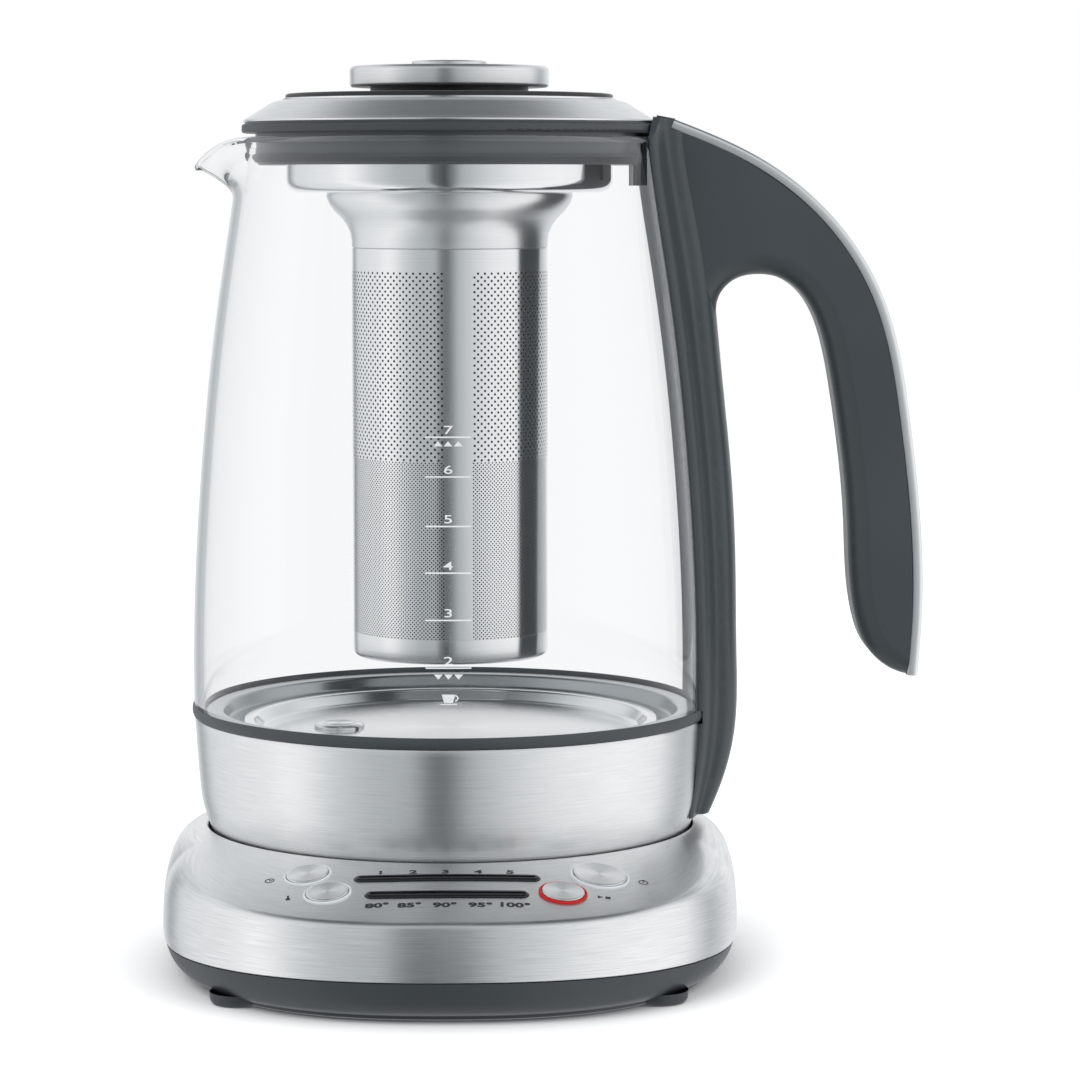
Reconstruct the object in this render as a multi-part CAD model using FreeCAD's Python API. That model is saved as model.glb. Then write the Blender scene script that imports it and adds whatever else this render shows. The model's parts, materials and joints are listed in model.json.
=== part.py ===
import FreeCAD, Part
import math
import os

V = FreeCAD.Vector
UP = V(0, 0, 1)

# An automatic tea maker: a glass jug with a heater floor on a cordless power base, a lid, and an
# infuser that hangs in the lid. Sizes are millimetres. Every shape is made about the jug's own axis,
# with the front at -Y and the handle at +X, and is moved to the middle of the footprint when saved.

# ---- power base ----
BASE_HALF_WIDTH = 89.8
BASE_HALF_DEPTH = 102.3
BASE_FORWARD = 16.5          # how far the base's middle lies in front of the jug's axis
BASE_SQUARENESS = 2.4        # superellipse exponent of the plan
OUTLINE_POINTS = 32
LOFT_STEPS = 6               # sections in the base's loft, closer together near the table
LOFT_BIAS = 1.3
FOOT_STAND = 2.5
BASE_WIDEST_Z = 15.0
BASE_BELLY = 9.0             # how far the lower cover draws in towards the table
BASE_LEAN = 3.2              # how far the steel cover draws in towards its shoulder
STEEL_WALL = 1.0
PLASTIC_WALL = 2.2
SEAM_BACK_Z = 7.2            # the joint of steel and plastic, level behind and rising to the front
SEAM_FRONT_Z = 13.4
TONGUE_HEIGHT = 3.0
FIT = 0.1                    # gap between fixed pieces that slide together
SHOULDER_RADIUS = 8.0

WELL_RADIUS = 77.8
DECK_RIM_Z = 41.0
DECK_SLOPE = 0.26            # fall of the deck cone for each millimetre outwards
WELL_FLOOR_Z = 31.0
WELL_FLOOR_THICKNESS = 2.5
WELL_WALL = 1.8
LIP_DEPTH = 5.0

FOOT_RADIUS = 9.0
FOOT_FRONT = (62.5, -84.0)
FOOT_BACK = (54.0, 50.0)
FOOT_SINK = 1.2

BOSS_RADIUS = 4.0
BOSS_FRONT = (52.0, -58.0)
BOSS_BACK = (48.0, 30.0)
BOSS_SPLIT_Z = 14.0          # where the two halves of a screw boss meet
SCREW_RADIUS = 1.5
SCREW_HEAD_RADIUS = 3.0
SCREW_HEAD_HEIGHT = 2.0
SCREW_BITE = 8.0

GLAND_RADIUS = 4.5           # the bush that the cord leaves by, at the back
GLAND_LENGTH = 9.0
GLAND_RISE = 5.2             # its middle above the tray's floor
GLAND_SET = 0.4
CORD_HOLE_RADIUS = 3.0

# ---- control panel ----
BUTTON_RADIUS = 6.4
TIMER_BUTTON_RADIUS = 8.1
RING_WIDTH = 0.9
RING_HEIGHT = 4.0
RING_PROUD = 0.3
BUTTON_GAP = 0.1             # running clearance round a button
BUTTON_HEIGHT = 1.8
BUTTON_PROUD = 0.7
BUTTON_DISH = 0.35
BUTTON_TRAVEL = 0.8
STEM_RADIUS = 2.0
BREW_BUTTON_AT = (-42.1, -80.0)
TEMPERATURE_BUTTON_AT = (-35.7, -94.3)
START_BUTTON_AT = (33.7, -95.0)
TIMER_BUTTON_AT = (45.0, -80.5)
TIME_BAR = (55.0, 3.9, -88.5)     # length, width, y
TEMPERATURE_BAR = (48.0, 4.1, -99.5)
LENS_RECESS = 0.4
LENS_THICKNESS = 2.4
BOARD_DEPTH = 9.5            # from the deck down to the board's upper face
BOARD_THICKNESS = 1.6
BOARD_LENGTH = 108.0
BOARD_WIDTH = 36.0
BOARD_Y = -86.5
BOARD_WELL_GAP = 1.0         # between the board's curved back edge and the well's wall
SWITCH_SIDE = 6.0
SWITCH_BODY = 2.6
SWITCH_TIP_RADIUS = 1.6
SWITCH_TIP = 0.9
SWITCH_GAP = 0.5             # left between a pressed stem and its switch, which lean apart
LED_COUNT = 5
LED_SIZE = 2.4
LED_HEIGHT = 1.2
BOARD_SCREW_X = 15.0
BOARD_SCREW_Y = -94.0
BOARD_POST_RADIUS = 3.0

# ---- cordless connector ----
TOWER_RADIUS = 14.0
TOWER_TOP_Z = 43.0
TOWER_HOLE_RADIUS = 3.2
TOWER_GROOVE_RADIUS = 8.8    # middle of the ring groove
TOWER_GROOVE_WIDTH = 2.2
TOWER_GROOVE_DEPTH = 9.0
TOWER_FLANGE_RADIUS = 20.0
TOWER_NECK_RADIUS = 15.7
SOCKET_GAP = 0.6
SOCKET_WALL = 4.5
CONTACT_PIN_RADIUS = 2.4
CONTACT_RING_THICKNESS = 1.0

# ---- jug ----
JUG_FLOOR_CLEARANCE = 1.0    # under the jug's underside, inside its resting rib
UNDERSIDE_THICKNESS = 1.8
REST_RIB_RADIUS = 57.0
REST_RIB_WIDTH = 6.0
SKIRT_WALL = 0.8
SKIRT_FOOT_RADIUS = 69.5
SKIRT_FOOT_Z = 32.6
SKIRT_TURN = (74.1, 35.7)
SKIRT_WAIST = (78.2, 45.3)
SKIRT_HIP = (79.9, 56.0)
SKIRT_TOP_RADIUS = 81.2
RING_BODY_Z = 71.0               # the ring's body goes down inside the skirt to here
RING_BOTTOM_Z = 74.8
RING_TOP_Z = 78.5
RING_RADIUS = 82.1
RING_INNER_RADIUS = 64.5
RING_TUCK = 0.4                  # between the ring's body and the skirt's inside
RING_SEAT_RADIUS = 74.0
RING_SEAT_Z = 77.2
GROOVE_FLOOR_Z = 75.7
GASKET_THICKNESS = 1.5
GLASS_WALL = 3.0
GLASS_FOOT_RADIUS = 81.4
GLASS_BELLY = (79.5, 141.0)
GLASS_SHOULDER = (72.5, 208.5)
GLASS_NECK = (68.0, 238.0)
GLASS_RIM_RADIUS = 65.4
GLASS_RIM_Z = 257.5
SPOUT_REACH = 81.4
SPOUT_TIP_Z = 250.5
SPOUT_TIP_DEPTH = 4.4
SPOUT_TIP_HALF_WIDTH = 4.0
SPOUT_ROOT_Z = 236.0
SPOUT_ROOT_HALF_WIDTH = 19.0
SPOUT_WALL = 2.4

HEATER_SHEET = 0.8
HEATER_STEP_RADIUS = 65.5
HEATER_STEP_Z = 74.4
HEATER_DIP_Z = 73.5
HEATER_FLOOR_RADIUS = 60.5
HEATER_FLOOR_Z = 70.6
SPREADER_RADIUS = 54.0
SPREADER_THICKNESS = 3.0
ELEMENT_RADIUS = 40.0
ELEMENT_TUBE = 3.4
ELEMENT_SWEEP = 290.0
TERMINAL_RADIUS = 1.6
TERMINAL_LENGTH = 9.0
SENSOR_AT = (-35.5, 0.0)
SENSOR_RADIUS = 8.0
SENSOR_PROUD = 1.6
SENSOR_STEM_RADIUS = 4.0
SENSOR_STEM_LENGTH = 14.0
JUG_BOSS_AT = 64.0
PAN_CLEARANCE = 1.9              # how far the bosses' tops keep outside the pan
JUG_BOSS_COUNT = 3

# ---- handle ----
HANDLE_REACH = 149.0
HANDLE_HEAD_Z = 265.3
HANDLE_TIP_Z = 88.2
HANDLE_FOOT_Z = 44.6
HANDLE_ROOT = (70.2, 263.2)      # where the outer line leaves the head: radius, height
HANDLE_CROWN = (52.8, 251.7)     # the outer line's points: distance in from the reach, height
HANDLE_SHOULDER = (28.8, 232.5)
HANDLE_BEND = (13.5, 208.5)
HANDLE_FLANK = (4.5, 170.1)
HANDLE_FULL_Z = 108.0
HANDLE_TIP_IN = 1.3
GRIP_TIP_TURN = (9.9, 90.3)      # the inner line: distance in from the reach, height
GRIP_TIP_CURL = (14.8, 94.1)
GRIP_HEEL_TURN = (18.4, 99.1)
GRIP_HEEL = (20.4, 104.6)
GRIP_LOW = (23.7, 137.8)
GRIP_MIDDLE = (27.7, 173.3)
GRIP_HIGH = (30.9, 191.0)
ARCH_FOOT = (34.6, 202.4)
ARCH_SIDE = (39.4, 209.6)
ARCH_SHOULDER = (45.8, 213.8)
ARCH_TOP = (52.6, 214.8)
ARCH_CORNER = (58.9, 213.5)
ARCH_TURN = (63.3, 209.9)
ARCH_END = (65.3, 204.0)
CORE_DEPTH = 18.0                # how far the solids reach in behind the glass before it is cut away
SPINE_DEPTH = 9.5                # how far the spine stands out from the glass's foot
SPINE_TOP = (7.1, 204.0)         # the spine's line: distance in from its fullest, height
SPINE_HIGH = (4.3, 176.2)
SPINE_MIDDLE = (1.6, 147.7)
SPINE_WAIST = (0.4, 122.0)
SPINE_FULL_Z = 96.0
SPINE_LOW = (0.3, 72.0)
SPINE_HEM = (3.0, 58.0)
SPINE_END_IN = 8.3
SADDLE_BEVEL = (0.13, 22.6)      # the saddle's section: share of its depth, and half its width there
SADDLE_BRINK = (0.24, 20.6)
SADDLE_SLOPE = (0.35, 16.9)
SADDLE_HOLLOW = (0.49, 14.7)
SADDLE_RIB = (0.66, 14.3)
SADDLE_TURN = (0.84, 12.4)
SADDLE_ROUND = (0.955, 8.0)
SADDLE_NOSE = (1.0, 3.0)
HEAD_DEPTH = 14.3                # how deep the saddle is at the head
SADDLE_LEVELS = 10
GRIP_ROUND = 6.5                 # radius of the edges under the fingers
HEAD_FALL = 18.0                 # how far the head's upper corners fall away
SADDLE_HALF_WIDTH = 23.0     # where the handle's spine wraps the glass
GRIP_HALF_WIDTH = 13.0
STRIP_THICKNESS = 3.4
STRIP_HALF_WIDTH = 12.3
STRIP_ROUND = 1.0
SADDLE_GAP = 0.15
HEAD_GAP = 0.5               # between the handle's head and the lid that lifts past it
CLIP_HALF_WIDTH = 9.0
CLIP_THICKNESS = 4.2
CLIP_BOTTOM_Z = 242.4
CLIP_BRIDGE = 2.6            # height of the part that crosses the rim
CLIP_GAP = 0.3
HANDLE_SCREW_Z = 60.0
HANDLE_SCREW_LENGTH = 8.0
HANDLE_SCREW_SET = 1.2       # how far its head's seat lies inside the skirt's widest

# ---- lid ----
LID_RADIUS = 65.3
LID_EDGE_Z = 262.3
LID_EDGE_HEIGHT = 0.7
LID_SHOULDER = (57.0, 269.2)
LID_TOP_Z = 270.7
LID_OPENING_RADIUS = 52.6
LID_SHEET = 0.8
LID_BORE_RADIUS = 51.6
LEDGE_Z = 268.6
PLUG_RADIUS = 60.8
PLUG_BOTTOM_Z = 248.8
SEAL_RADIUS = 65.1
SEAL_BOTTOM_Z = 258.7
SEAL_TOP_Z = 261.6
LIP_SEAL_RADIUS = 62.0
LIP_SEAL_Z = (249.6, 252.0)
NOTCH_CLEARANCE = 0.8

# ---- infuser ----
INFUSER_SHEET = 0.6
CUP_RADIUS = 51.3
CUP_RIM_RADIUS = 52.3
CUP_RIM_THICKNESS = 1.0
CUP_FLOOR_Z = 240.3
CUP_CORNER = 4.0
FUNNEL_RADIUS = 38.6
TUBE_RADIUS = 30.8
TUBE_TOP_Z = 226.0
WELD_OVERLAP = 4.0
BAND_TOP_Z = 99.0
BAND_BOTTOM_Z = 92.0
BAND_CORNER = 1.6

# ---- infuser lid ----
DISC_RADIUS = 52.2
DISC_THICKNESS = 1.4
DISC_STEP_RADIUS = 49.8
DISC_STEP_DEPTH = 4.0
NECK_RADIUS = 24.8
NECK_HEIGHT = 3.2
KNOB_RADIUS = 31.7
KNOB_HEIGHT = 6.0
KNOB_CHAMFER = 1.4
CAP_RADIUS = 11.8
CAP_RISE = 1.4
CAP_SEAT = 1.0

# ---- worked out ----
BOTTOM_Z = FOOT_STAND
MIDDLE = V((HANDLE_REACH - BASE_HALF_WIDTH) / 2, -BASE_FORWARD, 0)
UNDERSIDE_Z = WELL_FLOOR_Z + JUG_FLOOR_CLEARANCE
UNDERSIDE_TOP_Z = UNDERSIDE_Z + UNDERSIDE_THICKNESS
GLASS_BOTTOM_Z = GROOVE_FLOOR_Z + GASKET_THICKNESS
DISC_Z = LEDGE_Z + CUP_RIM_THICKNESS
NECK_Z = DISC_Z + DISC_THICKNESS
KNOB_Z = NECK_Z + NECK_HEIGHT
FAR = 400.0                  # longer than the whole object, for cutting tools


def save(name, shape):
    """Writes one node, with the origin moved to the middle of the footprint."""
    os.makedirs("parts", exist_ok=True)
    moved = shape.copy()
    moved.translate(MIDDLE * -1)
    moved.exportStep("parts/" + name + ".step")


def edges_of(start, steps, at):
    """Edges from start through the steps: a point is a line, a pair an arc, a list a spline."""
    edges = []
    for step in steps:
        if isinstance(step, list):
            curve = Part.BSplineCurve()
            curve.interpolate([at(p) for p in [start] + step])
            edges.append(curve.toShape())
            start = step[-1]
        elif isinstance(step[0], tuple):
            edges.append(Part.Arc(at(start), at(step[0]), at(step[1])).toShape())
            start = step[1]
        elif at(start).distanceToPoint(at(step)) > 1e-6:
            edges.append(Part.LineSegment(at(start), at(step)).toShape())
            start = step
    return edges, start


def closed_face(start, steps, at):
    """A flat face inside the steps, closed with a straight edge."""
    edges, end = edges_of(start, steps, at)
    if at(end).distanceToPoint(at(start)) > 1e-6:
        edges.append(Part.LineSegment(at(end), at(start)).toShape())
    return Part.Face(Part.Wire(edges))


def in_section(p):
    return V(p[0], 0, p[1])


def in_plan(p):
    return V(p[0], p[1], 0)


def in_front(p):
    return V(0, p[0], p[1])


def turned(start, *steps):
    """A solid of revolution about the jug's axis, from points of radius and height."""
    return closed_face(start, steps, in_section).revolve(V(0, 0, 0), UP, 360)


def ring(inner, outer, low, high):
    return turned((inner, low), (outer, low), (outer, high), (inner, high))


def disc(radius, low, high, at=(0, 0)):
    return Part.makeCylinder(radius, high - low, V(at[0], at[1], low))


def block(low, high):
    return Part.makeBox(high[0] - low[0], high[1] - low[1], high[2] - low[2], V(*low))


def joined(shapes):
    whole = shapes[0]
    for shape in shapes[1:]:
        whole = whole.fuse(shape)
    return whole.removeSplitter()


def dome(radius, edge_z, middle_z):
    """The arc from a round face's edge to its middle, level at the axis."""
    sag = middle_z - edge_z
    sphere = (radius ** 2 + sag ** 2) / (2 * abs(sag))
    fall = sphere - math.sqrt(sphere ** 2 - radius ** 2 / 4)
    return (radius / 2, middle_z - math.copysign(fall, sag)), (0, middle_z)


def four_corners(front, back):
    """The places of four like pieces, left and right, from one front and one back place."""
    return [(side * x, y) for x, y in (front, back) for side in (-1, 1)]


# ---- base shapes ----

def base_outline(z, inset):
    """The rounded-square plan of the base at one height."""
    points = []
    power = 2.0 / BASE_SQUARENESS
    for i in range(OUTLINE_POINTS):
        angle = math.pi / 2 + 2 * math.pi * i / OUTLINE_POINTS
        c = math.cos(angle)
        s = math.sin(angle)
        x = (BASE_HALF_WIDTH - inset) * math.copysign(abs(c) ** power, c)
        y = (BASE_HALF_DEPTH - inset) * math.copysign(abs(s) ** power, s) - BASE_FORWARD
        points.append(V(x, y, z))
    curve = Part.BSplineCurve()
    curve.interpolate(points, PeriodicFlag=True)
    return Part.Wire(curve.toShape())


def base_draw(z):
    """How far the base's side lies inside its widest outline at one height."""
    if z < BASE_WIDEST_Z:
        t = (BASE_WIDEST_Z - z) / (BASE_WIDEST_Z - BOTTOM_Z)
        return BASE_BELLY * (1 - math.sqrt(max(0.0, 1 - t * t * 0.96)))
    t = (z - BASE_WIDEST_Z) / (DECK_RIM_Z - BASE_WIDEST_Z)
    return BASE_LEAN * t * t


def deck_z(radius):
    return DECK_RIM_Z - DECK_SLOPE * (radius - WELL_RADIUS)


def deck_solid(sink):
    """Everything under the deck's cone, lowered by sink along its normal."""
    drop = sink * math.sqrt(1 + DECK_SLOPE ** 2)
    outer = FAR / 2
    tip = DECK_RIM_Z + DECK_SLOPE * WELL_RADIUS
    low = -FAR / 8
    return turned((0, low), (outer, low), (outer, deck_z(outer) - drop), (0, tip - drop))


def base_body(inset, sink, low, levels):
    """The base's whole outer form, drawn in by inset and with its deck lowered by sink."""
    top = DECK_RIM_Z + STEEL_WALL
    wires = []
    for i in range(levels + 1):
        z = low + (top - low) * (i / levels) ** LOFT_BIAS
        wires.append(base_outline(z, inset + base_draw(z)))
    body = Part.makeLoft(wires, True)
    return body.common(deck_solid(sink))


def rounded_shoulder(body, radius):
    """The body with the crease between its deck and its side rounded."""
    sides = [e for e in body.Edges if e.BoundBox.ZMin > BASE_WIDEST_Z and e.Curve.TypeId != "Part::GeomLine"]
    crease = [e for e in sides if e.BoundBox.ZLength < 2 * radius]
    return body.makeFillet(radius, crease)


def under_seam(lift):
    """Everything under the curved joint of the two covers, raised by lift."""
    back = BASE_HALF_DEPTH * 1.2
    front = -BASE_HALF_DEPTH - BASE_FORWARD - 5
    mid = (SEAM_BACK_Z + SEAM_FRONT_Z) / 2 - 1.2
    curve = [(-20.0, SEAM_BACK_Z + 0.6 + lift), (-75.0, mid + 1.0 + lift), (front, SEAM_FRONT_Z + lift)]
    face = closed_face((back, SEAM_BACK_Z + lift), [curve, (front, -FAR / 8), (back, -FAR / 8)], in_front)
    solid = face.extrude(V(2 * BASE_HALF_WIDTH + 20, 0, 0))
    solid.translate(V(-BASE_HALF_WIDTH - 10, 0, 0))
    return solid


def on_deck(shape, at):
    """A shape made on +Z at the origin, set at a place on the deck and square to it."""
    x, y = at
    radius = math.hypot(x, y)
    normal = V(DECK_SLOPE * x / radius, DECK_SLOPE * y / radius, 1)
    placed = shape.copy()
    turn = FreeCAD.Rotation(UP, normal)
    placed.Placement = FreeCAD.Placement(V(x, y, deck_z(radius)), turn)
    return placed


def bar_prism(bar, gap, low, high):
    """An upright stadium along X, wider by gap all round."""
    length, width, y = bar
    half = length / 2 - width / 2
    r = width / 2 + gap
    right_end = ((half + r, 0), (half, r))
    left_end = ((-half - r, 0), (-half, -r))
    face = closed_face((-half, -r), [(half, -r), right_end, (-half, r), left_end], in_plan)
    prism = face.extrude(V(0, 0, high - low))
    prism.translate(V(0, y, low))
    return prism


def buttons():
    """Each button's name, place and radius."""
    return [("brew_time_button", BREW_BUTTON_AT, BUTTON_RADIUS),
            ("temperature_button", TEMPERATURE_BUTTON_AT, BUTTON_RADIUS),
            ("start_stop_button", START_BUTTON_AT, BUTTON_RADIUS),
            ("start_timer_button", TIMER_BUTTON_AT, TIMER_BUTTON_RADIUS)]


def base_top_cover():
    outer = rounded_shoulder(base_body(0, 0, BOTTOM_Z, LOFT_STEPS), SHOULDER_RADIUS)
    inner = rounded_shoulder(base_body(STEEL_WALL, STEEL_WALL, BOTTOM_Z - STEEL_WALL, LOFT_STEPS),
                             SHOULDER_RADIUS - STEEL_WALL)
    shell = outer.cut(under_seam(0)).cut(inner)
    lip = ring(WELL_RADIUS, WELL_RADIUS + STEEL_WALL, DECK_RIM_Z - LIP_DEPTH, DECK_RIM_Z - STEEL_WALL)
    shell = shell.cut(disc(WELL_RADIUS, 0, FAR)).fuse(lip.common(deck_solid(0))).removeSplitter()
    for _, at, radius in buttons():
        hole = Part.makeCylinder(radius + BUTTON_GAP + RING_WIDTH + FIT, 20, V(0, 0, -10))
        shell = shell.cut(on_deck(hole, at))
    for bar in (TIME_BAR, TEMPERATURE_BAR):
        shell = shell.cut(bar_prism(bar, FIT, BASE_WIDEST_Z, DECK_RIM_Z + 5))
    return shell.cut(gland_hole(FIT))


def base_bottom_cover():
    body = base_body(0, 0, BOTTOM_Z, LOFT_STEPS)
    skin = body.common(under_seam(0))
    tongue = base_body(STEEL_WALL + FIT, 2 * STEEL_WALL, BOTTOM_Z, LOFT_STEPS)
    tongue = tongue.common(under_seam(TONGUE_HEIGHT))
    room = base_body(STEEL_WALL + FIT + PLASTIC_WALL, STEEL_WALL, BOTTOM_Z, LOFT_STEPS)
    room = room.common(block((-FAR / 2, -FAR / 2, BOTTOM_Z + PLASTIC_WALL), (FAR / 2, FAR / 2, FAR)))
    tray = skin.fuse(tongue).cut(room)
    floor = BOTTOM_Z + PLASTIC_WALL
    extras = []
    for at in four_corners(BOSS_FRONT, BOSS_BACK):
        extras.append(disc(BOSS_RADIUS, floor - 0.5, BOSS_SPLIT_Z, at))
    for at in board_posts():
        post = disc(BOARD_POST_RADIUS, floor - 0.5, DECK_RIM_Z, at)
        extras.append(post.common(under_board()))
    tray = joined([tray] + extras)
    for at in four_corners(BOSS_FRONT, BOSS_BACK):
        tray = tray.cut(disc(SCREW_RADIUS + FIT, 0, BOSS_SPLIT_Z + 1, at))
        tray = tray.cut(disc(SCREW_HEAD_RADIUS + 0.3, 0, BOTTOM_Z + SCREW_HEAD_HEIGHT + 0.6, at))
    for at in board_posts():
        tray = tray.cut(board_screw(at, FIT))
    for at in four_corners(FOOT_FRONT, FOOT_BACK):
        tray = tray.cut(disc(FOOT_RADIUS + FIT, 0, BOTTOM_Z + FOOT_SINK, at))
    return tray.cut(gland_hole(FIT))


def rubber_feet():
    feet = []
    for at in four_corners(FOOT_FRONT, FOOT_BACK):
        foot = disc(FOOT_RADIUS, 0, BOTTOM_Z + FOOT_SINK, at)
        rim = [e for e in foot.Edges if e.BoundBox.ZMax < 0.01]
        feet.append(foot.makeChamfer(0.8, rim))
    return Part.makeCompound(feet)


def base_screws():
    screws = []
    head = BOTTOM_Z + 0.6
    for at in four_corners(BOSS_FRONT, BOSS_BACK):
        cap = disc(SCREW_HEAD_RADIUS, head, head + SCREW_HEAD_HEIGHT, at)
        shank = disc(SCREW_RADIUS, head, BOSS_SPLIT_Z + SCREW_BITE, at)
        screws.append(cap.fuse(shank).removeSplitter())
    return Part.makeCompound(screws)


def base_chassis():
    """The moulding under the deck: the well that the jug stands in, and the screw bosses."""
    floor_low = WELL_FLOOR_Z - WELL_FLOOR_THICKNESS
    wall = ring(WELL_RADIUS, WELL_RADIUS + WELL_WALL, floor_low, DECK_RIM_Z - LIP_DEPTH)
    floor = ring(TOWER_NECK_RADIUS + FIT, WELL_RADIUS + WELL_WALL, floor_low, WELL_FLOOR_Z)
    skirt = ring(TOWER_FLANGE_RADIUS + FIT, TOWER_FLANGE_RADIUS + 2, floor_low - 2.5, floor_low + 0.5)
    pieces = [wall, floor, skirt]
    for at in four_corners(BOSS_FRONT, BOSS_BACK):
        pieces.append(disc(BOSS_RADIUS, BOSS_SPLIT_Z, floor_low + 0.5, at))
    shape = joined(pieces)
    for at in four_corners(BOSS_FRONT, BOSS_BACK):
        shape = shape.cut(disc(SCREW_RADIUS + FIT, 0, BOSS_SPLIT_Z + SCREW_BITE + 0.5, at))
    return shape


# ---- control panel pieces ----

def board_angle():
    return math.degrees(math.atan(DECK_SLOPE))


def tilted(shape):
    """A shape made flat at the origin, set parallel to the deck's front, with its top at the board."""
    placed = shape.copy()
    placed.Placement = FreeCAD.Placement(board_middle(), FreeCAD.Rotation(V(1, 0, 0), board_angle()))
    return placed


def board_middle():
    """The middle of the board's upper face."""
    angle = math.radians(board_angle())
    back = V(0, math.sin(angle), -math.cos(angle)) * BOARD_DEPTH
    return V(0, BOARD_Y, deck_z(-BOARD_Y)) + back


def board_point(x, y):
    """Local board coordinates of the place under a button at a place on the deck."""
    radius = math.hypot(x, y)
    normal = V(DECK_SLOPE * x / radius, DECK_SLOPE * y / radius, 1).normalize()
    start = V(x, y, deck_z(radius))
    angle = math.radians(board_angle())
    board_up = V(0, -math.sin(angle), math.cos(angle))
    run = (start - board_middle()).dot(board_up) / normal.dot(board_up)
    hit = start - normal * run - board_middle()
    return hit.x, hit.dot(V(0, math.cos(angle), math.sin(angle))), run


def under_board():
    """Everything under the board."""
    slab = block((-FAR / 2, -FAR / 2, -FAR), (FAR / 2, FAR / 2, -BOARD_THICKNESS))
    return tilted(slab)


def board_posts():
    """Where the board's posts stand on the floor."""
    return [(-BOARD_SCREW_X, BOARD_SCREW_Y), (BOARD_SCREW_X, BOARD_SCREW_Y)]


def control_board():
    half = BOARD_LENGTH / 2
    board = block((-half, -BOARD_WIDTH / 2, -BOARD_THICKNESS), (half, BOARD_WIDTH / 2, 0))
    upright = [e for e in board.Edges if abs(e.BoundBox.ZLength - BOARD_THICKNESS) < 0.01]
    board = tilted(board.makeFillet(4.0, upright))
    board = board.cut(disc(WELL_RADIUS + WELL_WALL + BOARD_WELL_GAP, 0, DECK_RIM_Z))
    for at in board_posts():
        board = board.cut(disc(SCREW_RADIUS + FIT, 0, DECK_RIM_Z, at))
    return board


def board_screw(at, gap):
    """A screw that stands square to the table, with its head above the board."""
    x, y = at
    seat = board_middle().z - (board_middle().y - y) * DECK_SLOPE + 0.8
    head = disc(SCREW_HEAD_RADIUS, seat, seat + 1.4, (x, y))
    shank = disc(SCREW_RADIUS + gap, seat - 8.0, seat + 0.4, (x, y))
    return head.fuse(shank).removeSplitter() if gap == 0 else shank


def board_screws():
    return Part.makeCompound([board_screw(at, 0) for at in board_posts()])


def tact_switches():
    switches = []
    half = SWITCH_SIDE / 2
    for _, (x, y), _ in buttons():
        u, v, _ = board_point(x, y)
        body = block((u - half, v - half, 0), (u + half, v + half, SWITCH_BODY))
        tip = disc(SWITCH_TIP_RADIUS, SWITCH_BODY, SWITCH_BODY + SWITCH_TIP, (u, v))
        switches.append(tilted(body.fuse(tip).removeSplitter()))
    return Part.makeCompound(switches)


def display_leds():
    lamps = []
    half = LED_SIZE / 2
    for length, _, y in (TIME_BAR, TEMPERATURE_BAR):
        _, v, _ = board_point(0, y)
        for i in range(LED_COUNT):
            u = (i - (LED_COUNT - 1) / 2) * (length - 8) / (LED_COUNT - 1)
            lamps.append(tilted(block((u - half, v - half, 0), (u + half, v + half, LED_HEIGHT))))
    return Part.makeCompound(lamps)


def button(at, radius):
    """A spun metal cap with a dished face on a stem."""
    low = BUTTON_PROUD - BUTTON_HEIGHT
    _, _, run = board_point(*at)
    stem_end = -(run - SWITCH_BODY - SWITCH_TIP - SWITCH_GAP - BUTTON_TRAVEL)
    edge = BUTTON_PROUD - 0.3
    face = turned((0, low), (radius, low), (radius, edge), (radius - 0.3, BUTTON_PROUD),
                  (radius - 0.8, BUTTON_PROUD), dome(radius - 0.8, BUTTON_PROUD, BUTTON_PROUD - BUTTON_DISH))
    stem = disc(STEM_RADIUS, stem_end, low + 0.5)
    return on_deck(face.fuse(stem).removeSplitter(), at)


def button_ring(at, radius):
    inner = radius + BUTTON_GAP
    tube = ring(inner, inner + RING_WIDTH, RING_PROUD - RING_HEIGHT, RING_PROUD)
    return on_deck(tube, at)


def display_lens(bar):
    """A dark bar whose face follows the deck."""
    prism = bar_prism(bar, 0, BASE_WIDEST_Z, DECK_RIM_Z + 5)
    return prism.common(deck_solid(LENS_RECESS)).cut(deck_solid(LENS_RECESS + LENS_THICKNESS))


# ---- connector and gland ----

def base_connector():
    seat = WELL_FLOOR_Z - WELL_FLOOR_THICKNESS
    body = turned((0, seat - 2.5), (TOWER_FLANGE_RADIUS, seat - 2.5), (TOWER_FLANGE_RADIUS, seat),
                  (TOWER_NECK_RADIUS, seat), (TOWER_NECK_RADIUS, WELL_FLOOR_Z), (TOWER_RADIUS, WELL_FLOOR_Z),
                  (TOWER_RADIUS, TOWER_TOP_Z - 1.5), (TOWER_RADIUS - 1.5, TOWER_TOP_Z), (0, TOWER_TOP_Z))
    half = TOWER_GROOVE_WIDTH / 2
    low = TOWER_TOP_Z - TOWER_GROOVE_DEPTH
    groove = ring(TOWER_GROOVE_RADIUS - half, TOWER_GROOVE_RADIUS + half, low, FAR)
    return body.cut(groove).cut(disc(TOWER_HOLE_RADIUS, low, FAR))


def base_contacts():
    """Spring plates at the bottoms of the tower's hole and groove."""
    low = TOWER_TOP_Z - TOWER_GROOVE_DEPTH
    half = TOWER_GROOVE_WIDTH / 2
    plate = ring(TOWER_GROOVE_RADIUS - half + FIT, TOWER_GROOVE_RADIUS + half - FIT, low, low + 0.6)
    return Part.makeCompound([plate, disc(TOWER_HOLE_RADIUS - FIT, low, low + 0.6)])


def gland_hole(gap):
    """The round way out at the back of the base."""
    return back_bore(GLAND_RADIUS + gap)


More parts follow.
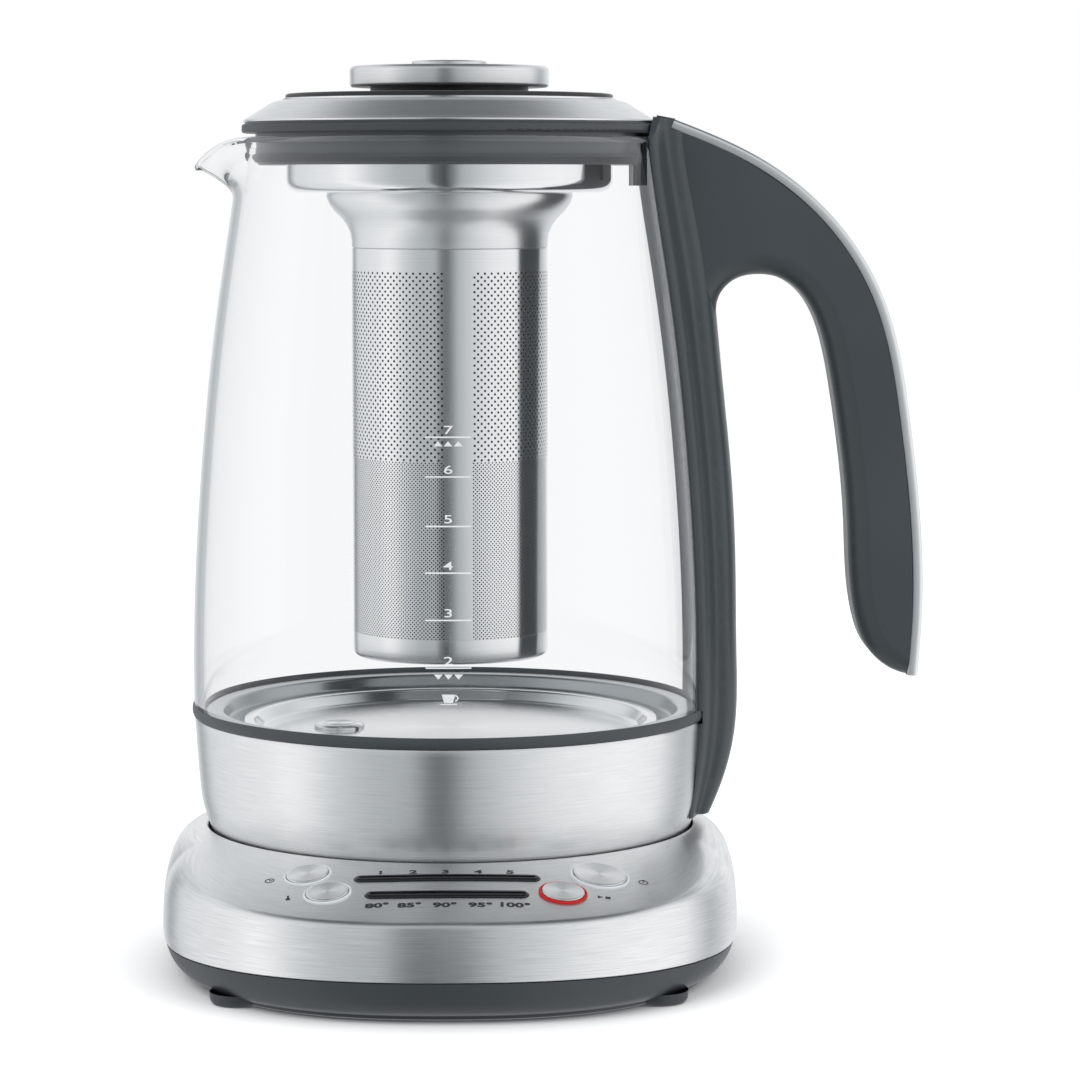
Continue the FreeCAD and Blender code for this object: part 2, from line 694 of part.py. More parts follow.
def back_bore(radius):
    """A level bore through the back wall, at the height of the cord's way out."""
    start = V(0, BASE_HALF_DEPTH - BASE_FORWARD - 2 * GLAND_LENGTH, BOTTOM_Z + PLASTIC_WALL + GLAND_RISE)
    return Part.makeCylinder(radius, 4 * GLAND_LENGTH, start, V(0, 1, 0))


def cord_gland():
    """A plain bush in the back wall, flush with it."""
    bush = gland_hole(0).common(base_body(GLAND_SET, 0, BOTTOM_Z, LOFT_STEPS))
    inside = block((-FAR / 2, -FAR / 2, 0), (FAR / 2, BASE_HALF_DEPTH - BASE_FORWARD - GLAND_LENGTH, FAR))
    return bush.cut(inside).cut(back_bore(CORD_HOLE_RADIUS))


# ---- jug ----

def glass_curve(inset):
    """The glass wall's outline from foot to rim, drawn in by inset."""
    foot = (GLASS_FOOT_RADIUS - inset, GLASS_BOTTOM_Z)
    low = (GLASS_FOOT_RADIUS - inset, GLASS_BOTTOM_Z + 20)
    rest = [(r - inset, z) for r, z in (GLASS_BELLY, GLASS_SHOULDER, GLASS_NECK)]
    return foot, [low] + rest + [(GLASS_RIM_RADIUS - inset, GLASS_RIM_Z)]


def glass_body(inset, top):
    """The solid inside the glass wall's outline, up to the rim and then straight to top."""
    foot, curve = glass_curve(inset)
    end = curve[-1]
    return turned((0, foot[1]), foot, curve, (end[0], top), (0, top))


def spout_section(x, half_width, top, bottom):
    """A U across the spout at one distance from the axis."""
    points = []
    for i in range(9):
        angle = math.pi * (1 + i / 8)
        points.append(V(-x, half_width * math.cos(angle), top + (top - bottom) * math.sin(angle)))
    curve = Part.BSplineCurve()
    curve.interpolate(points)
    return Part.Wire([curve.toShape(), Part.LineSegment(points[-1], points[0]).toShape()])


def spout_body(inset, lift):
    """The beak that leads the pour, drawn in by inset and raised by lift at its open top."""
    rim = GLASS_RIM_Z + 0.2
    root = GLASS_RIM_RADIUS - GLASS_WALL - 8
    middle = GLASS_RIM_RADIUS + 6.5
    tip_bottom = SPOUT_TIP_Z - SPOUT_TIP_DEPTH
    mid_width = (SPOUT_ROOT_HALF_WIDTH + SPOUT_TIP_HALF_WIDTH) / 2 + 1.5
    rows = [spout_section(root, SPOUT_ROOT_HALF_WIDTH - inset, rim + lift, SPOUT_ROOT_Z - 6 + inset),
            spout_section(middle, mid_width - inset, rim - 2.0 + lift, SPOUT_TIP_Z - 7.0 + inset),
            spout_section(SPOUT_REACH - inset / 4, SPOUT_TIP_HALF_WIDTH - inset / 2, SPOUT_TIP_Z + lift,
                          tip_bottom + inset)]
    return Part.makeLoft(rows, True)


def glass_jug():
    outer = glass_body(0, GLASS_RIM_Z).fuse(spout_body(0, 0))
    inner = glass_body(GLASS_WALL, GLASS_RIM_Z + 5).fuse(spout_body(SPOUT_WALL, 3))
    wall = outer.cut(inner)
    over = block((-FAR / 2, -FAR / 2, GLASS_RIM_Z), (FAR / 2, FAR / 2, FAR))
    return wall.cut(over).removeSplitter()


def skirt_curve(inset):
    """The steel skirt's outline from its rolled foot up to the ring."""
    turn = (SKIRT_TURN[0] - inset, SKIRT_TURN[1])
    waist = (SKIRT_WAIST[0] - inset, SKIRT_WAIST[1])
    hip = (SKIRT_HIP[0] - inset, SKIRT_HIP[1])
    top = (SKIRT_TOP_RADIUS - inset, RING_BOTTOM_Z)
    return (SKIRT_FOOT_RADIUS, SKIRT_FOOT_Z + inset), [turn, waist, hip, top]


def steel_skirt():
    start, curve = skirt_curve(0)
    inner_start, inner_curve = skirt_curve(SKIRT_WALL)
    back = list(reversed(inner_curve[:-1])) + [inner_start]
    return turned(start, curve, inner_curve[-1], back).cut(handle_screw(FIT))


def jug_bottom_cover():
    low = UNDERSIDE_Z
    high = UNDERSIDE_TOP_Z
    hole = TOWER_RADIUS + SOCKET_GAP + SOCKET_WALL + FIT
    plate = ring(hole, SKIRT_FOOT_RADIUS - FIT, low, high)
    half_rib = REST_RIB_WIDTH / 2
    rib = ring(REST_RIB_RADIUS - half_rib, REST_RIB_RADIUS + half_rib, WELL_FLOOR_Z, low + 0.5)
    over = SKIRT_FOOT_Z + 2 * SKIRT_WALL + FIT
    shelf = ring(SKIRT_FOOT_RADIUS - 2, SKIRT_FOOT_RADIUS + 1.2, over, over + 1.4)
    neck = ring(SKIRT_FOOT_RADIUS - 2, SKIRT_FOOT_RADIUS - FIT, low + 0.2, over + 1.4)
    shape = joined([plate, rib, neck, shelf])
    for at in jug_bosses():
        shape = shape.cut(disc(SCREW_RADIUS + FIT, 0, FAR, at))
        shape = shape.cut(disc(SCREW_HEAD_RADIUS + 0.2, 0, low + 0.8, at))
    return shape


def jug_bosses():
    """Where the ring's screw bosses stand."""
    places = []
    for i in range(JUG_BOSS_COUNT):
        angle = math.radians(60 + 360 * i / JUG_BOSS_COUNT)
        places.append((JUG_BOSS_AT * math.cos(angle), JUG_BOSS_AT * math.sin(angle)))
    return places


def jug_screws():
    screws = []
    for at in jug_bosses():
        head = disc(SCREW_HEAD_RADIUS, UNDERSIDE_Z - 0.4, UNDERSIDE_Z + 0.8, at)
        shank = disc(SCREW_RADIUS, UNDERSIDE_Z, UNDERSIDE_TOP_Z + SCREW_BITE, at)
        screws.append(head.fuse(shank).removeSplitter())
    return Part.makeCompound(screws)


def jug_ring():
    """The dark ring between glass and skirt, with its groove, seat and screw bosses."""
    bulge = (RING_RADIUS, (RING_BOTTOM_Z + RING_TOP_Z) / 2)
    lip_in = GLASS_FOOT_RADIUS + FIT
    groove_in = GLASS_FOOT_RADIUS - GLASS_WALL - 0.5
    shelf_z = HEATER_DIP_Z - HEATER_SHEET - 0.3
    tuck = SKIRT_TOP_RADIUS - SKIRT_WALL - RING_TUCK
    body = turned((RING_INNER_RADIUS, RING_BODY_Z), (tuck, RING_BODY_Z), (tuck, RING_BOTTOM_Z),
                  (RING_RADIUS - 0.7, RING_BOTTOM_Z), (bulge, (RING_RADIUS - 0.3, RING_TOP_Z)),
                  (lip_in, RING_TOP_Z), (lip_in, GROOVE_FLOOR_Z), (groove_in, GROOVE_FLOOR_Z),
                  (groove_in, RING_SEAT_Z), (RING_SEAT_RADIUS, RING_SEAT_Z), (RING_SEAT_RADIUS, shelf_z),
                  (RING_INNER_RADIUS, shelf_z))
    bosses = [disc(BOSS_RADIUS - 0.8, UNDERSIDE_TOP_Z, RING_BODY_Z + 0.5, at) for at in jug_bosses()]
    pan_z = HEATER_FLOOR_Z - HEATER_SHEET - 0.3
    shape = joined([body] + bosses).cut(disc(HEATER_FLOOR_RADIUS + PAN_CLEARANCE, pan_z, FAR))
    for at in jug_bosses():
        shape = shape.cut(disc(SCREW_RADIUS + FIT, 0, UNDERSIDE_TOP_Z + SCREW_BITE + 0.5, at))
    return shape


def glass_gasket():
    inner = GLASS_FOOT_RADIUS - GLASS_WALL - 0.5 + FIT
    return ring(inner, GLASS_FOOT_RADIUS, GROOVE_FLOOR_Z, GLASS_BOTTOM_Z)


def heater_plate():
    """The pressed steel floor: a sunk pan, a ridge round it, a shallow channel and a flange."""
    t = HEATER_SHEET
    edge = GLASS_FOOT_RADIUS - GLASS_WALL - 0.8
    top = RING_SEAT_Z + t
    inner = RING_SEAT_RADIUS - 1.2
    pan, ridge = HEATER_FLOOR_RADIUS, HEATER_STEP_RADIUS
    floor_z, ridge_z, dip_z = HEATER_FLOOR_Z, HEATER_STEP_Z, HEATER_DIP_Z
    plate = turned((0, floor_z - t), (pan, floor_z - t), (pan + 2.4, ridge_z - t), (ridge - 0.4, ridge_z - t),
                   (ridge + 1.2, dip_z - t), (inner - 1.4, dip_z - t), (inner, RING_SEAT_Z),
                   (edge, RING_SEAT_Z), (edge, top), (inner - 0.6, top), (inner - 2.0, dip_z),
                   (ridge + 1.6, dip_z), (ridge, ridge_z), (pan + 1.8, ridge_z), (pan - 0.6, floor_z),
                   (0, floor_z))
    return plate.cut(disc(SENSOR_STEM_RADIUS + FIT, 0, FAR, SENSOR_AT))


def temperature_sensor():
    """The round probe that shows on the heater floor, with its stem below."""
    x, y = SENSOR_AT
    cap = disc(SENSOR_RADIUS, HEATER_FLOOR_Z, HEATER_FLOOR_Z + SENSOR_PROUD, SENSOR_AT)
    rim = [e for e in cap.Edges if e.BoundBox.ZMin > HEATER_FLOOR_Z + SENSOR_PROUD - 0.01]
    cap = cap.makeFillet(0.9, rim)
    stem = disc(SENSOR_STEM_RADIUS, HEATER_FLOOR_Z - SENSOR_STEM_LENGTH, HEATER_FLOOR_Z + 0.2, SENSOR_AT)
    return cap.fuse(stem).removeSplitter()


def heat_spreader():
    top = HEATER_FLOOR_Z - HEATER_SHEET
    shape = ring(9.0, SPREADER_RADIUS, top - SPREADER_THICKNESS, top)
    return shape.cut(disc(SENSOR_STEM_RADIUS + 0.8, 0, FAR, SENSOR_AT))


def heating_element():
    """A sheathed element bent into an open loop, with its two cold ends turned down."""
    z = HEATER_FLOOR_Z - HEATER_SHEET - SPREADER_THICKNESS - ELEMENT_TUBE
    start = V(ELEMENT_RADIUS, 0, z)
    section = Part.Face(Part.Wire(Part.makeCircle(ELEMENT_TUBE, start, V(0, 1, 0))))
    loop = section.revolve(V(0, 0, 0), UP, ELEMENT_SWEEP)
    gap_middle = math.degrees(math.atan2(SENSOR_AT[1], SENSOR_AT[0]))
    first = gap_middle + (360 - ELEMENT_SWEEP) / 2
    loop.rotate(V(0, 0, 0), UP, first)
    pieces = [loop]
    for angle in (first + 3, first + ELEMENT_SWEEP - 3):
        x = ELEMENT_RADIUS * math.cos(math.radians(angle))
        y = ELEMENT_RADIUS * math.sin(math.radians(angle))
        pieces.append(disc(TERMINAL_RADIUS, z - ELEMENT_TUBE - TERMINAL_LENGTH, z, (x, y)))
    return joined(pieces)


def jug_connector():
    """The socket under the jug that drops over the base's tower."""
    inner = TOWER_RADIUS + SOCKET_GAP
    outer = inner + SOCKET_WALL
    roof = TOWER_TOP_Z + SOCKET_GAP
    low = WELL_FLOOR_Z + SOCKET_GAP
    flange = UNDERSIDE_TOP_Z
    return turned((inner, low), (outer, low), (outer, flange), (outer + 4, flange), (outer + 4, flange + 2),
                  (outer, flange + 2), (outer, roof + 3), (0, roof + 3), (0, roof), (inner, roof))


def jug_contacts():
    """The brass pin and ring that hang from the socket's roof."""
    roof = TOWER_TOP_Z + SOCKET_GAP
    reach = TOWER_TOP_Z - TOWER_GROOVE_DEPTH + 1.2
    half = CONTACT_RING_THICKNESS / 2
    band = ring(TOWER_GROOVE_RADIUS - half, TOWER_GROOVE_RADIUS + half, reach, roof)
    return Part.makeCompound([band, disc(CONTACT_PIN_RADIUS, reach, roof)])


# ---- handle ----

def from_reach(*knots):
    """Points given as a distance in from the handle's reach, and a height."""
    return [(HANDLE_REACH - inwards, z) for inwards, z in knots]


def back_curve(inset):
    """The handle's outer line from head to tip, drawn in by inset."""
    knots = (HANDLE_CROWN, HANDLE_SHOULDER, HANDLE_BEND, HANDLE_FLANK, (0, HANDLE_FULL_Z),
             (HANDLE_TIP_IN, HANDLE_TIP_Z))
    points = [HANDLE_ROOT] + from_reach(*knots)
    moved = []
    for i, (x, z) in enumerate(points):
        before = points[max(i - 1, 0)]
        after = points[min(i + 1, len(points) - 1)]
        dx = after[0] - before[0]
        dz = after[1] - before[1]
        size = math.hypot(dx, dz)
        moved.append((x + inset * dz / size, z - inset * dx / size))
    return moved


def spine_line():
    """The spine's outer line from the finger gap down to the skirt."""
    full = GLASS_FOOT_RADIUS + SPINE_DEPTH
    knots = (SPINE_TOP, SPINE_HIGH, SPINE_MIDDLE, SPINE_WAIST, (0, SPINE_FULL_Z), SPINE_LOW, SPINE_HEM,
             (SPINE_END_IN, HANDLE_FOOT_Z))
    return [(full - inwards, z) for inwards, z in knots]


def inner_line():
    """The line under the fingers, from the tip up the grip and over the arch to the spine."""
    tip = (GRIP_TIP_TURN, GRIP_TIP_CURL, GRIP_HEEL_TURN, GRIP_HEEL)
    grip = (GRIP_LOW, GRIP_MIDDLE, GRIP_HIGH, ARCH_FOOT)
    arch = (ARCH_SIDE, ARCH_SHOULDER, ARCH_TOP, ARCH_CORNER, ARCH_TURN, ARCH_END)
    return from_reach(*tip, *grip, *arch)


def below_back(core, inner):
    """The face under the handle's outer line, closed through the inner points."""
    back = back_curve(STRIP_THICKNESS)
    steps = [HANDLE_ROOT, back[0], back[1:]] + inner + [(core, HANDLE_HEAD_Z)]
    return closed_face((core + CORE_DEPTH / 2, HANDLE_HEAD_Z), steps, in_section)


def extruded_across(face, half_width):
    solid = face.extrude(V(0, 2 * half_width, 0))
    solid.translate(V(0, -half_width, 0))
    return solid


def grip_slab():
    """Head and arc, with the edges under the fingers rounded."""
    line = inner_line()
    core = GLASS_NECK[0] - CORE_DEPTH
    low = line[-1][1] - CORE_DEPTH
    face = below_back(core, [line, (line[-1][0] - 1, low), (core, low)])
    slab = extruded_across(face, GRIP_HALF_WIDTH)
    edges = []
    for edge in slab.Edges:
        box = edge.BoundBox
        flat = box.YLength < 0.01
        if flat and box.ZMin < HANDLE_TIP_Z + 1 and ARCH_TOP[1] - 1 < box.ZMax < ARCH_TOP[1] + 1:
            edges.append(edge)
    return slab.makeFillet(GRIP_ROUND, edges)


def radius_at(points, z):
    """The radius at one height of a smooth outline through points of radius and height."""
    curve = Part.BSplineCurve()
    curve.interpolate([in_section(p) for p in points])
    level = Part.LineSegment(V(0, 0, z), V(FAR, 0, z)).toShape()
    return curve.toShape().distToShape(level)[1][0][0].x


def saddle_section(z, radius, nose):
    """The saddle cut level at one height: a bevel at the glass, a hollow and a rounded rib."""
    wide = SADDLE_HALF_WIDTH
    start = math.sqrt(radius * radius - wide * wide)
    depth = nose - start
    knots = (SADDLE_BEVEL, SADDLE_BRINK, SADDLE_SLOPE, SADDLE_HOLLOW, SADDLE_RIB, SADDLE_TURN, SADDLE_ROUND,
             SADDLE_NOSE)
    right = [V(start, wide, z)] + [V(start + share * depth, half, z) for share, half in knots]
    left = [V(p.x, -p.y, z) for p in reversed(right)]
    curve = Part.BSplineCurve()
    curve.interpolate(right + left)
    core = start - CORE_DEPTH
    corners = [left[-1], V(core, -wide, z), V(core, wide, z), right[0]]
    sides = [Part.LineSegment(a, b).toShape() for a, b in zip(corners, corners[1:])]
    return Part.Wire([curve.toShape()] + sides)


def saddle_body():
    """The saddle down the glass and the skirt, its depth following the spine's outer line."""
    glass_foot, glass = glass_curve(0)
    skirt = skirt_curve(0)[1]
    spine = spine_line()
    top = spine[0][1]
    sections = []
    for i in range(SADDLE_LEVELS):
        z = HANDLE_FOOT_Z + (top - HANDLE_FOOT_Z) * i / (SADDLE_LEVELS - 1)
        outline = skirt if z < RING_BOTTOM_Z else [glass_foot] + glass
        sections.append(saddle_section(z, radius_at(outline, z), radius_at(spine, z)))
    for z in (GLASS_NECK[1], HANDLE_HEAD_Z):
        radius = radius_at([glass_foot] + glass, min(z, GLASS_RIM_Z))
        nose = math.sqrt(radius * radius - SADDLE_HALF_WIDTH ** 2) + HEAD_DEPTH
        sections.append(saddle_section(z, radius, nose))
    return Part.makeLoft(sections, True)


def handle_front():
    """The handle's head seen from the back: the saddle's upper corners fall away."""
    wide = SADDLE_HALF_WIDTH + 1
    top = HANDLE_HEAD_Z + 1
    flat = GRIP_HALF_WIDTH + 1
    mid_y = flat + (wide - flat) * 0.7
    mid_z = top - HEAD_FALL * 0.3
    steps = [(wide, top - HEAD_FALL), ((mid_y, mid_z), (flat, top)), (-flat, top),
             ((-mid_y, mid_z), (-wide, top - HEAD_FALL)), (-wide, 0)]
    return closed_face((wide, 0), steps, in_front)


def jug_envelope(gap):
    """Everything inside the outline of skirt, ring, glass and lid, grown by gap, as solids of revolution."""
    start, skirt = skirt_curve(-gap)
    low = turned((0, 0), (start[0], 0), start, skirt, (0, RING_BOTTOM_Z))
    band = disc(RING_RADIUS + gap, RING_BOTTOM_Z - gap, RING_TOP_Z + gap)
    glass = glass_body(-gap, GLASS_RIM_Z)
    top = disc(LID_RADIUS + HEAD_GAP, GLASS_RIM_Z, FAR)
    return [low, band, glass, top]


def handle_grip():
    under = extruded_across(below_back(0, [(HANDLE_REACH, 0), (0, 0)]), FAR)
    shape = grip_slab().fuse(saddle_body().common(under))
    shape = shape.common(handle_front().extrude(V(FAR, 0, 0)))
    for solid in jug_envelope(SADDLE_GAP):
        shape = shape.cut(solid)
    return shape.cut(handle_screw(FIT)).removeSplitter()


def handle_strip():
    """The bright strip that wraps the handle's outer line."""
    outer = back_curve(0)
    inner = back_curve(STRIP_THICKNESS)
    steps = [outer[1:], inner[-1], list(reversed(inner[:-1]))]
    strip = extruded_across(closed_face(outer[0], steps, in_section), STRIP_HALF_WIDTH)
    outer_edges = sorted(strip.Edges, key=lambda edge: edge.Length)[-2:]
    return strip.makeFillet(STRIP_ROUND, outer_edges)


def handle_clip():
    """The bracket that hooks over the rim and holds the handle's head."""
    inner_face = GLASS_RIM_RADIUS - GLASS_WALL - CLIP_GAP
    hook = ring(inner_face - CLIP_THICKNESS, inner_face, CLIP_BOTTOM_Z, GLASS_RIM_Z + CLIP_GAP)
    bridge = ring(inner_face - CLIP_THICKNESS, LID_RADIUS + HEAD_GAP, GLASS_RIM_Z + CLIP_GAP,
                  GLASS_RIM_Z + CLIP_GAP + CLIP_BRIDGE)
    wedge = block((0, -CLIP_HALF_WIDTH, 0), (FAR, CLIP_HALF_WIDTH, FAR))
    return hook.fuse(bridge).common(wedge).removeSplitter()


def handle_screw(gap):
    """A screw from inside the skirt into the foot of the spine, with its hole's gap."""
    inner = SKIRT_TOP_RADIUS - SKIRT_WALL - HANDLE_SCREW_SET
    seat = V(inner, 0, HANDLE_SCREW_Z)
    shank = Part.makeCylinder(SCREW_RADIUS + gap, HANDLE_SCREW_LENGTH, seat, V(1, 0, 0))
    if gap:
        return shank
    start = V(inner - SCREW_HEAD_HEIGHT, 0, HANDLE_SCREW_Z)
    head = Part.makeCylinder(SCREW_HEAD_RADIUS, SCREW_HEAD_HEIGHT, start, V(1, 0, 0))
    return head.fuse(shank).removeSplitter()


# ---- lid ----

def lid_cover():
    """The bevelled steel ring on top of the lid."""
    t = LID_SHEET
    shoulder_r, shoulder_z = LID_SHOULDER
    edge = LID_EDGE_Z + LID_EDGE_HEIGHT
    return turned((LID_RADIUS, LID_EDGE_Z), (LID_RADIUS, edge), (shoulder_r + 0.8, shoulder_z - 0.3),
                  ((shoulder_r, shoulder_z + 0.1), (shoulder_r - 0.9, shoulder_z + 0.4)),
                  (LID_OPENING_RADIUS, LID_TOP_Z), (LID_OPENING_RADIUS, LID_TOP_Z - t),
                  (shoulder_r - 1.0, shoulder_z + 0.4 - t), (shoulder_r + 0.4, shoulder_z - 0.4 - t),
                  (LID_RADIUS - t, edge - 0.4), (LID_RADIUS - t, LID_EDGE_Z))


def lid_plug():
    """The moulding under the cover: a ledge for the infuser, and the plug in the jug's neck."""
    shoulder_r, shoulder_z = LID_SHOULDER
    t = LID_SHEET + FIT
    body = turned((LID_BORE_RADIUS, PLUG_BOTTOM_Z), (PLUG_RADIUS - 1, PLUG_BOTTOM_Z),
                  (PLUG_RADIUS, PLUG_BOTTOM_Z + 1), (PLUG_RADIUS, SEAL_TOP_Z),
                  (LID_RADIUS - t - 0.4, SEAL_TOP_Z), (LID_RADIUS - t - 0.4, LID_EDGE_Z + 0.3),
                  (shoulder_r, shoulder_z - 0.9 - t),
                  (LID_OPENING_RADIUS, shoulder_z + 0.2 - t), (LID_OPENING_RADIUS, LEDGE_Z - 0.6),
                  (LID_OPENING_RADIUS - 0.2, LEDGE_Z), (LID_BORE_RADIUS, LEDGE_Z))
    groove = ring(PLUG_RADIUS - 1.2, FAR, LIP_SEAL_Z[0], LIP_SEAL_Z[1])
    return body.cut(groove).cut(lid_notch())


def lid_notch():
    """The way through the plug and its seals for the handle's clip."""
    half = CLIP_HALF_WIDTH + NOTCH_CLEARANCE
    inner = GLASS_RIM_RADIUS - GLASS_WALL - CLIP_GAP - CLIP_THICKNESS - NOTCH_CLEARANCE
    return block((inner, -half, 0), (FAR, half, GLASS_RIM_Z + CLIP_GAP + CLIP_BRIDGE + NOTCH_CLEARANCE))


def lid_seal():
    seal = ring(PLUG_RADIUS + FIT, SEAL_RADIUS, SEAL_BOTTOM_Z, SEAL_TOP_Z)
    rims = [e for e in seal.Edges if e.BoundBox.XLength > 2 * SEAL_RADIUS - 0.5]
    return seal.makeFillet(0.9, rims).cut(lid_notch())


def lid_lip_seal():
    low, high = LIP_SEAL_Z
    mid = (low + high) / 2
    lip = turned((PLUG_RADIUS - 1.1, low), (PLUG_RADIUS + 0.1, low), (LIP_SEAL_RADIUS, mid + 0.3),
                 (LIP_SEAL_RADIUS - 0.3, high), (PLUG_RADIUS - 1.1, high))
    return lip.cut(lid_notch())


# ---- infuser ----

def infuser_rim():
    """The wide cup and the funnel, pressed from one sheet."""
    t = INFUSER_SHEET
    r = CUP_CORNER
    slope = math.sqrt(0.5)
    top = LEDGE_Z + CUP_RIM_THICKNESS
    outer_arc = (CUP_RADIUS - r * (1 - slope), CUP_FLOOR_Z + r * (1 - slope))
    inner_arc = (CUP_RADIUS - t - (r - t) * (1 - slope), CUP_FLOOR_Z + t + (r - t) * (1 - slope))
    funnel_z = CUP_FLOOR_Z - 0.9
    knee = [(FUNNEL_RADIUS - 1.0, funnel_z - 3.0), (FUNNEL_RADIUS - 5.0, funnel_z - 7.2),
            (TUBE_RADIUS + 0.4, TUBE_TOP_Z + 1.8), (TUBE_RADIUS, TUBE_TOP_Z - WELD_OVERLAP)]
    back = [(TUBE_RADIUS + 0.4 - t, TUBE_TOP_Z + 1.8), (FUNNEL_RADIUS - 5.0 - t, funnel_z - 6.9),
            (FUNNEL_RADIUS - 1.0 - t, funnel_z - 2.8), (FUNNEL_RADIUS - t, CUP_FLOOR_Z + t)]
    return turned((CUP_RIM_RADIUS, LEDGE_Z), (CUP_RIM_RADIUS, top), (CUP_RADIUS - t, top),
                  (CUP_RADIUS - t, CUP_FLOOR_Z + r), (inner_arc, (CUP_RADIUS - r, CUP_FLOOR_Z + t)),
                  (FUNNEL_RADIUS - t, CUP_FLOOR_Z + t),
                  list(reversed(back[:-1])) + [(TUBE_RADIUS - t, TUBE_TOP_Z - WELD_OVERLAP)],
                  (TUBE_RADIUS, TUBE_TOP_Z - WELD_OVERLAP),
                  list(reversed(knee[:-1])) + [(FUNNEL_RADIUS, funnel_z)],
                  (FUNNEL_RADIUS, CUP_FLOOR_Z), (CUP_RADIUS - r, CUP_FLOOR_Z),
                  (outer_arc, (CUP_RADIUS, CUP_FLOOR_Z + r)), (CUP_RADIUS, LEDGE_Z))


def infuser_tube():
    """The tube of perforated sheet, drawn here without its holes."""
    return ring(TUBE_RADIUS - INFUSER_SHEET, TUBE_RADIUS, BAND_TOP_Z, TUBE_TOP_Z - WELD_OVERLAP)


def infuser_bottom():
    """The plain band and floor that close the tube."""
    t = INFUSER_SHEET
    r = BAND_CORNER
    return turned((0, BAND_BOTTOM_Z), (TUBE_RADIUS - r, BAND_BOTTOM_Z),
                  ((TUBE_RADIUS - r * 0.29, BAND_BOTTOM_Z + r * 0.29), (TUBE_RADIUS, BAND_BOTTOM_Z + r)),
                  (TUBE_RADIUS, BAND_TOP_Z), (TUBE_RADIUS - t, BAND_TOP_Z),
                  (TUBE_RADIUS - t, BAND_BOTTOM_Z + r), (TUBE_RADIUS - r, BAND_BOTTOM_Z + t),
                  (0, BAND_BOTTOM_Z + t))


# ---- infuser lid ----

def infuser_lid_disc():
    """The thin dark disc with a rim that drops into the infuser's cup."""
    wall = 1.0
    low = DISC_Z - DISC_STEP_DEPTH
    top = DISC_Z + DISC_THICKNESS
    hole = SCREW_RADIUS + FIT
    return turned((DISC_STEP_RADIUS - wall, low), (DISC_STEP_RADIUS, low), (DISC_STEP_RADIUS, DISC_Z),
                  (DISC_RADIUS, DISC_Z), (DISC_RADIUS, top - 0.5), (DISC_RADIUS - 0.5, top), (hole, top),
                  (hole, DISC_Z), (DISC_STEP_RADIUS - wall, DISC_Z))


def knob_neck():
    return ring(SCREW_RADIUS + FIT, NECK_RADIUS, NECK_Z, KNOB_Z)


def knob_disc():
    """The brushed steel knob, with a seat for its cap."""
    c = KNOB_CHAMFER
    top = KNOB_Z + KNOB_HEIGHT
    body = turned((0, KNOB_Z), (KNOB_RADIUS - c, KNOB_Z), (KNOB_RADIUS, KNOB_Z + c), (KNOB_RADIUS, top - 0.8),
                  (KNOB_RADIUS - 0.8, top), (CAP_RADIUS + FIT, top), (CAP_RADIUS + FIT, top - CAP_SEAT),
                  (0, top - CAP_SEAT))
    return body.cut(disc(SCREW_RADIUS + FIT, KNOB_Z - 1, top - CAP_SEAT - 1.2))


def knob_cap():
    low = KNOB_Z + KNOB_HEIGHT - CAP_SEAT
    edge = KNOB_Z + KNOB_HEIGHT + 0.4
    top = KNOB_Z + KNOB_HEIGHT + CAP_RISE
    return turned((0, low), (CAP_RADIUS, low), (CAP_RADIUS, edge), dome(CAP_RADIUS, edge, top))


def knob_screw():
    head = disc(SCREW_HEAD_RADIUS, DISC_Z - 1.8, DISC_Z)
    shank = disc(SCREW_RADIUS, DISC_Z - 1, KNOB_Z + KNOB_HEIGHT - CAP_SEAT - 1.6)
    return head.fuse(shank).removeSplitter()


def save_base():
    save("base_top_cover", base_top_cover())
    save("base_bottom_cover", base_bottom_cover())
    save("base_chassis", base_chassis())
    save("rubber_feet", rubber_feet())
    save("base_screws", base_screws())
    save("base_connector", base_connector())
    save("base_contacts", base_contacts())
    save("cord_gland", cord_gland())
    save("control_board", control_board())
    save("board_screws", board_screws())
    save("tact_switches", tact_switches())
    save("display_leds", display_leds())
    save("time_display_lens", display_lens(TIME_BAR))
    save("temperature_display_lens", display_lens(TEMPERATURE_BAR))
    pale = [button_ring(at, radius) for name, at, radius in buttons() if name != "start_stop_button"]
    save("button_rings", Part.makeCompound(pale))
    save("start_stop_ring", button_ring(START_BUTTON_AT, BUTTON_RADIUS))
    for name, at, radius in buttons():
        save(name, button(at, radius))


def save_jug():
    save("jug_connector", jug_connector())
    save("jug_contacts", jug_contacts())
    save("jug_bottom_cover", jug_bottom_cover())
    save("jug_screws", jug_screws())
    save("steel_skirt", steel_skirt())
    save("jug_ring", jug_ring())
    save("glass_gasket", glass_gasket())
    save("glass_jug", glass_jug())
    save("heater_plate", heater_plate())
    save("temperature_sensor", temperature_sensor())
    save("heat_spreader", heat_spreader())
    save("heating_element", heating_element())
    save("handle_grip", handle_grip())
    save("handle_strip", handle_strip())
    save("handle_clip", handle_clip())
    save("handle_screw", handle_screw(0))


def save_lid_and_infuser():
    save("lid_cover", lid_cover())
    save("lid_plug", lid_plug())
    save("lid_seal", lid_seal())
    save("lid_lip_seal", lid_lip_seal())
    save("infuser_rim", infuser_rim())
    save("infuser_tube", infuser_tube())
    save("infuser_bottom", infuser_bottom())
    save("infuser_lid_disc", infuser_lid_disc())
    save("knob_neck", knob_neck())
    save("knob_disc", knob_disc())
    save("knob_cap", knob_cap())
    save("knob_screw", knob_screw())


save_base()
save_jug()
save_lid_and_infuser()
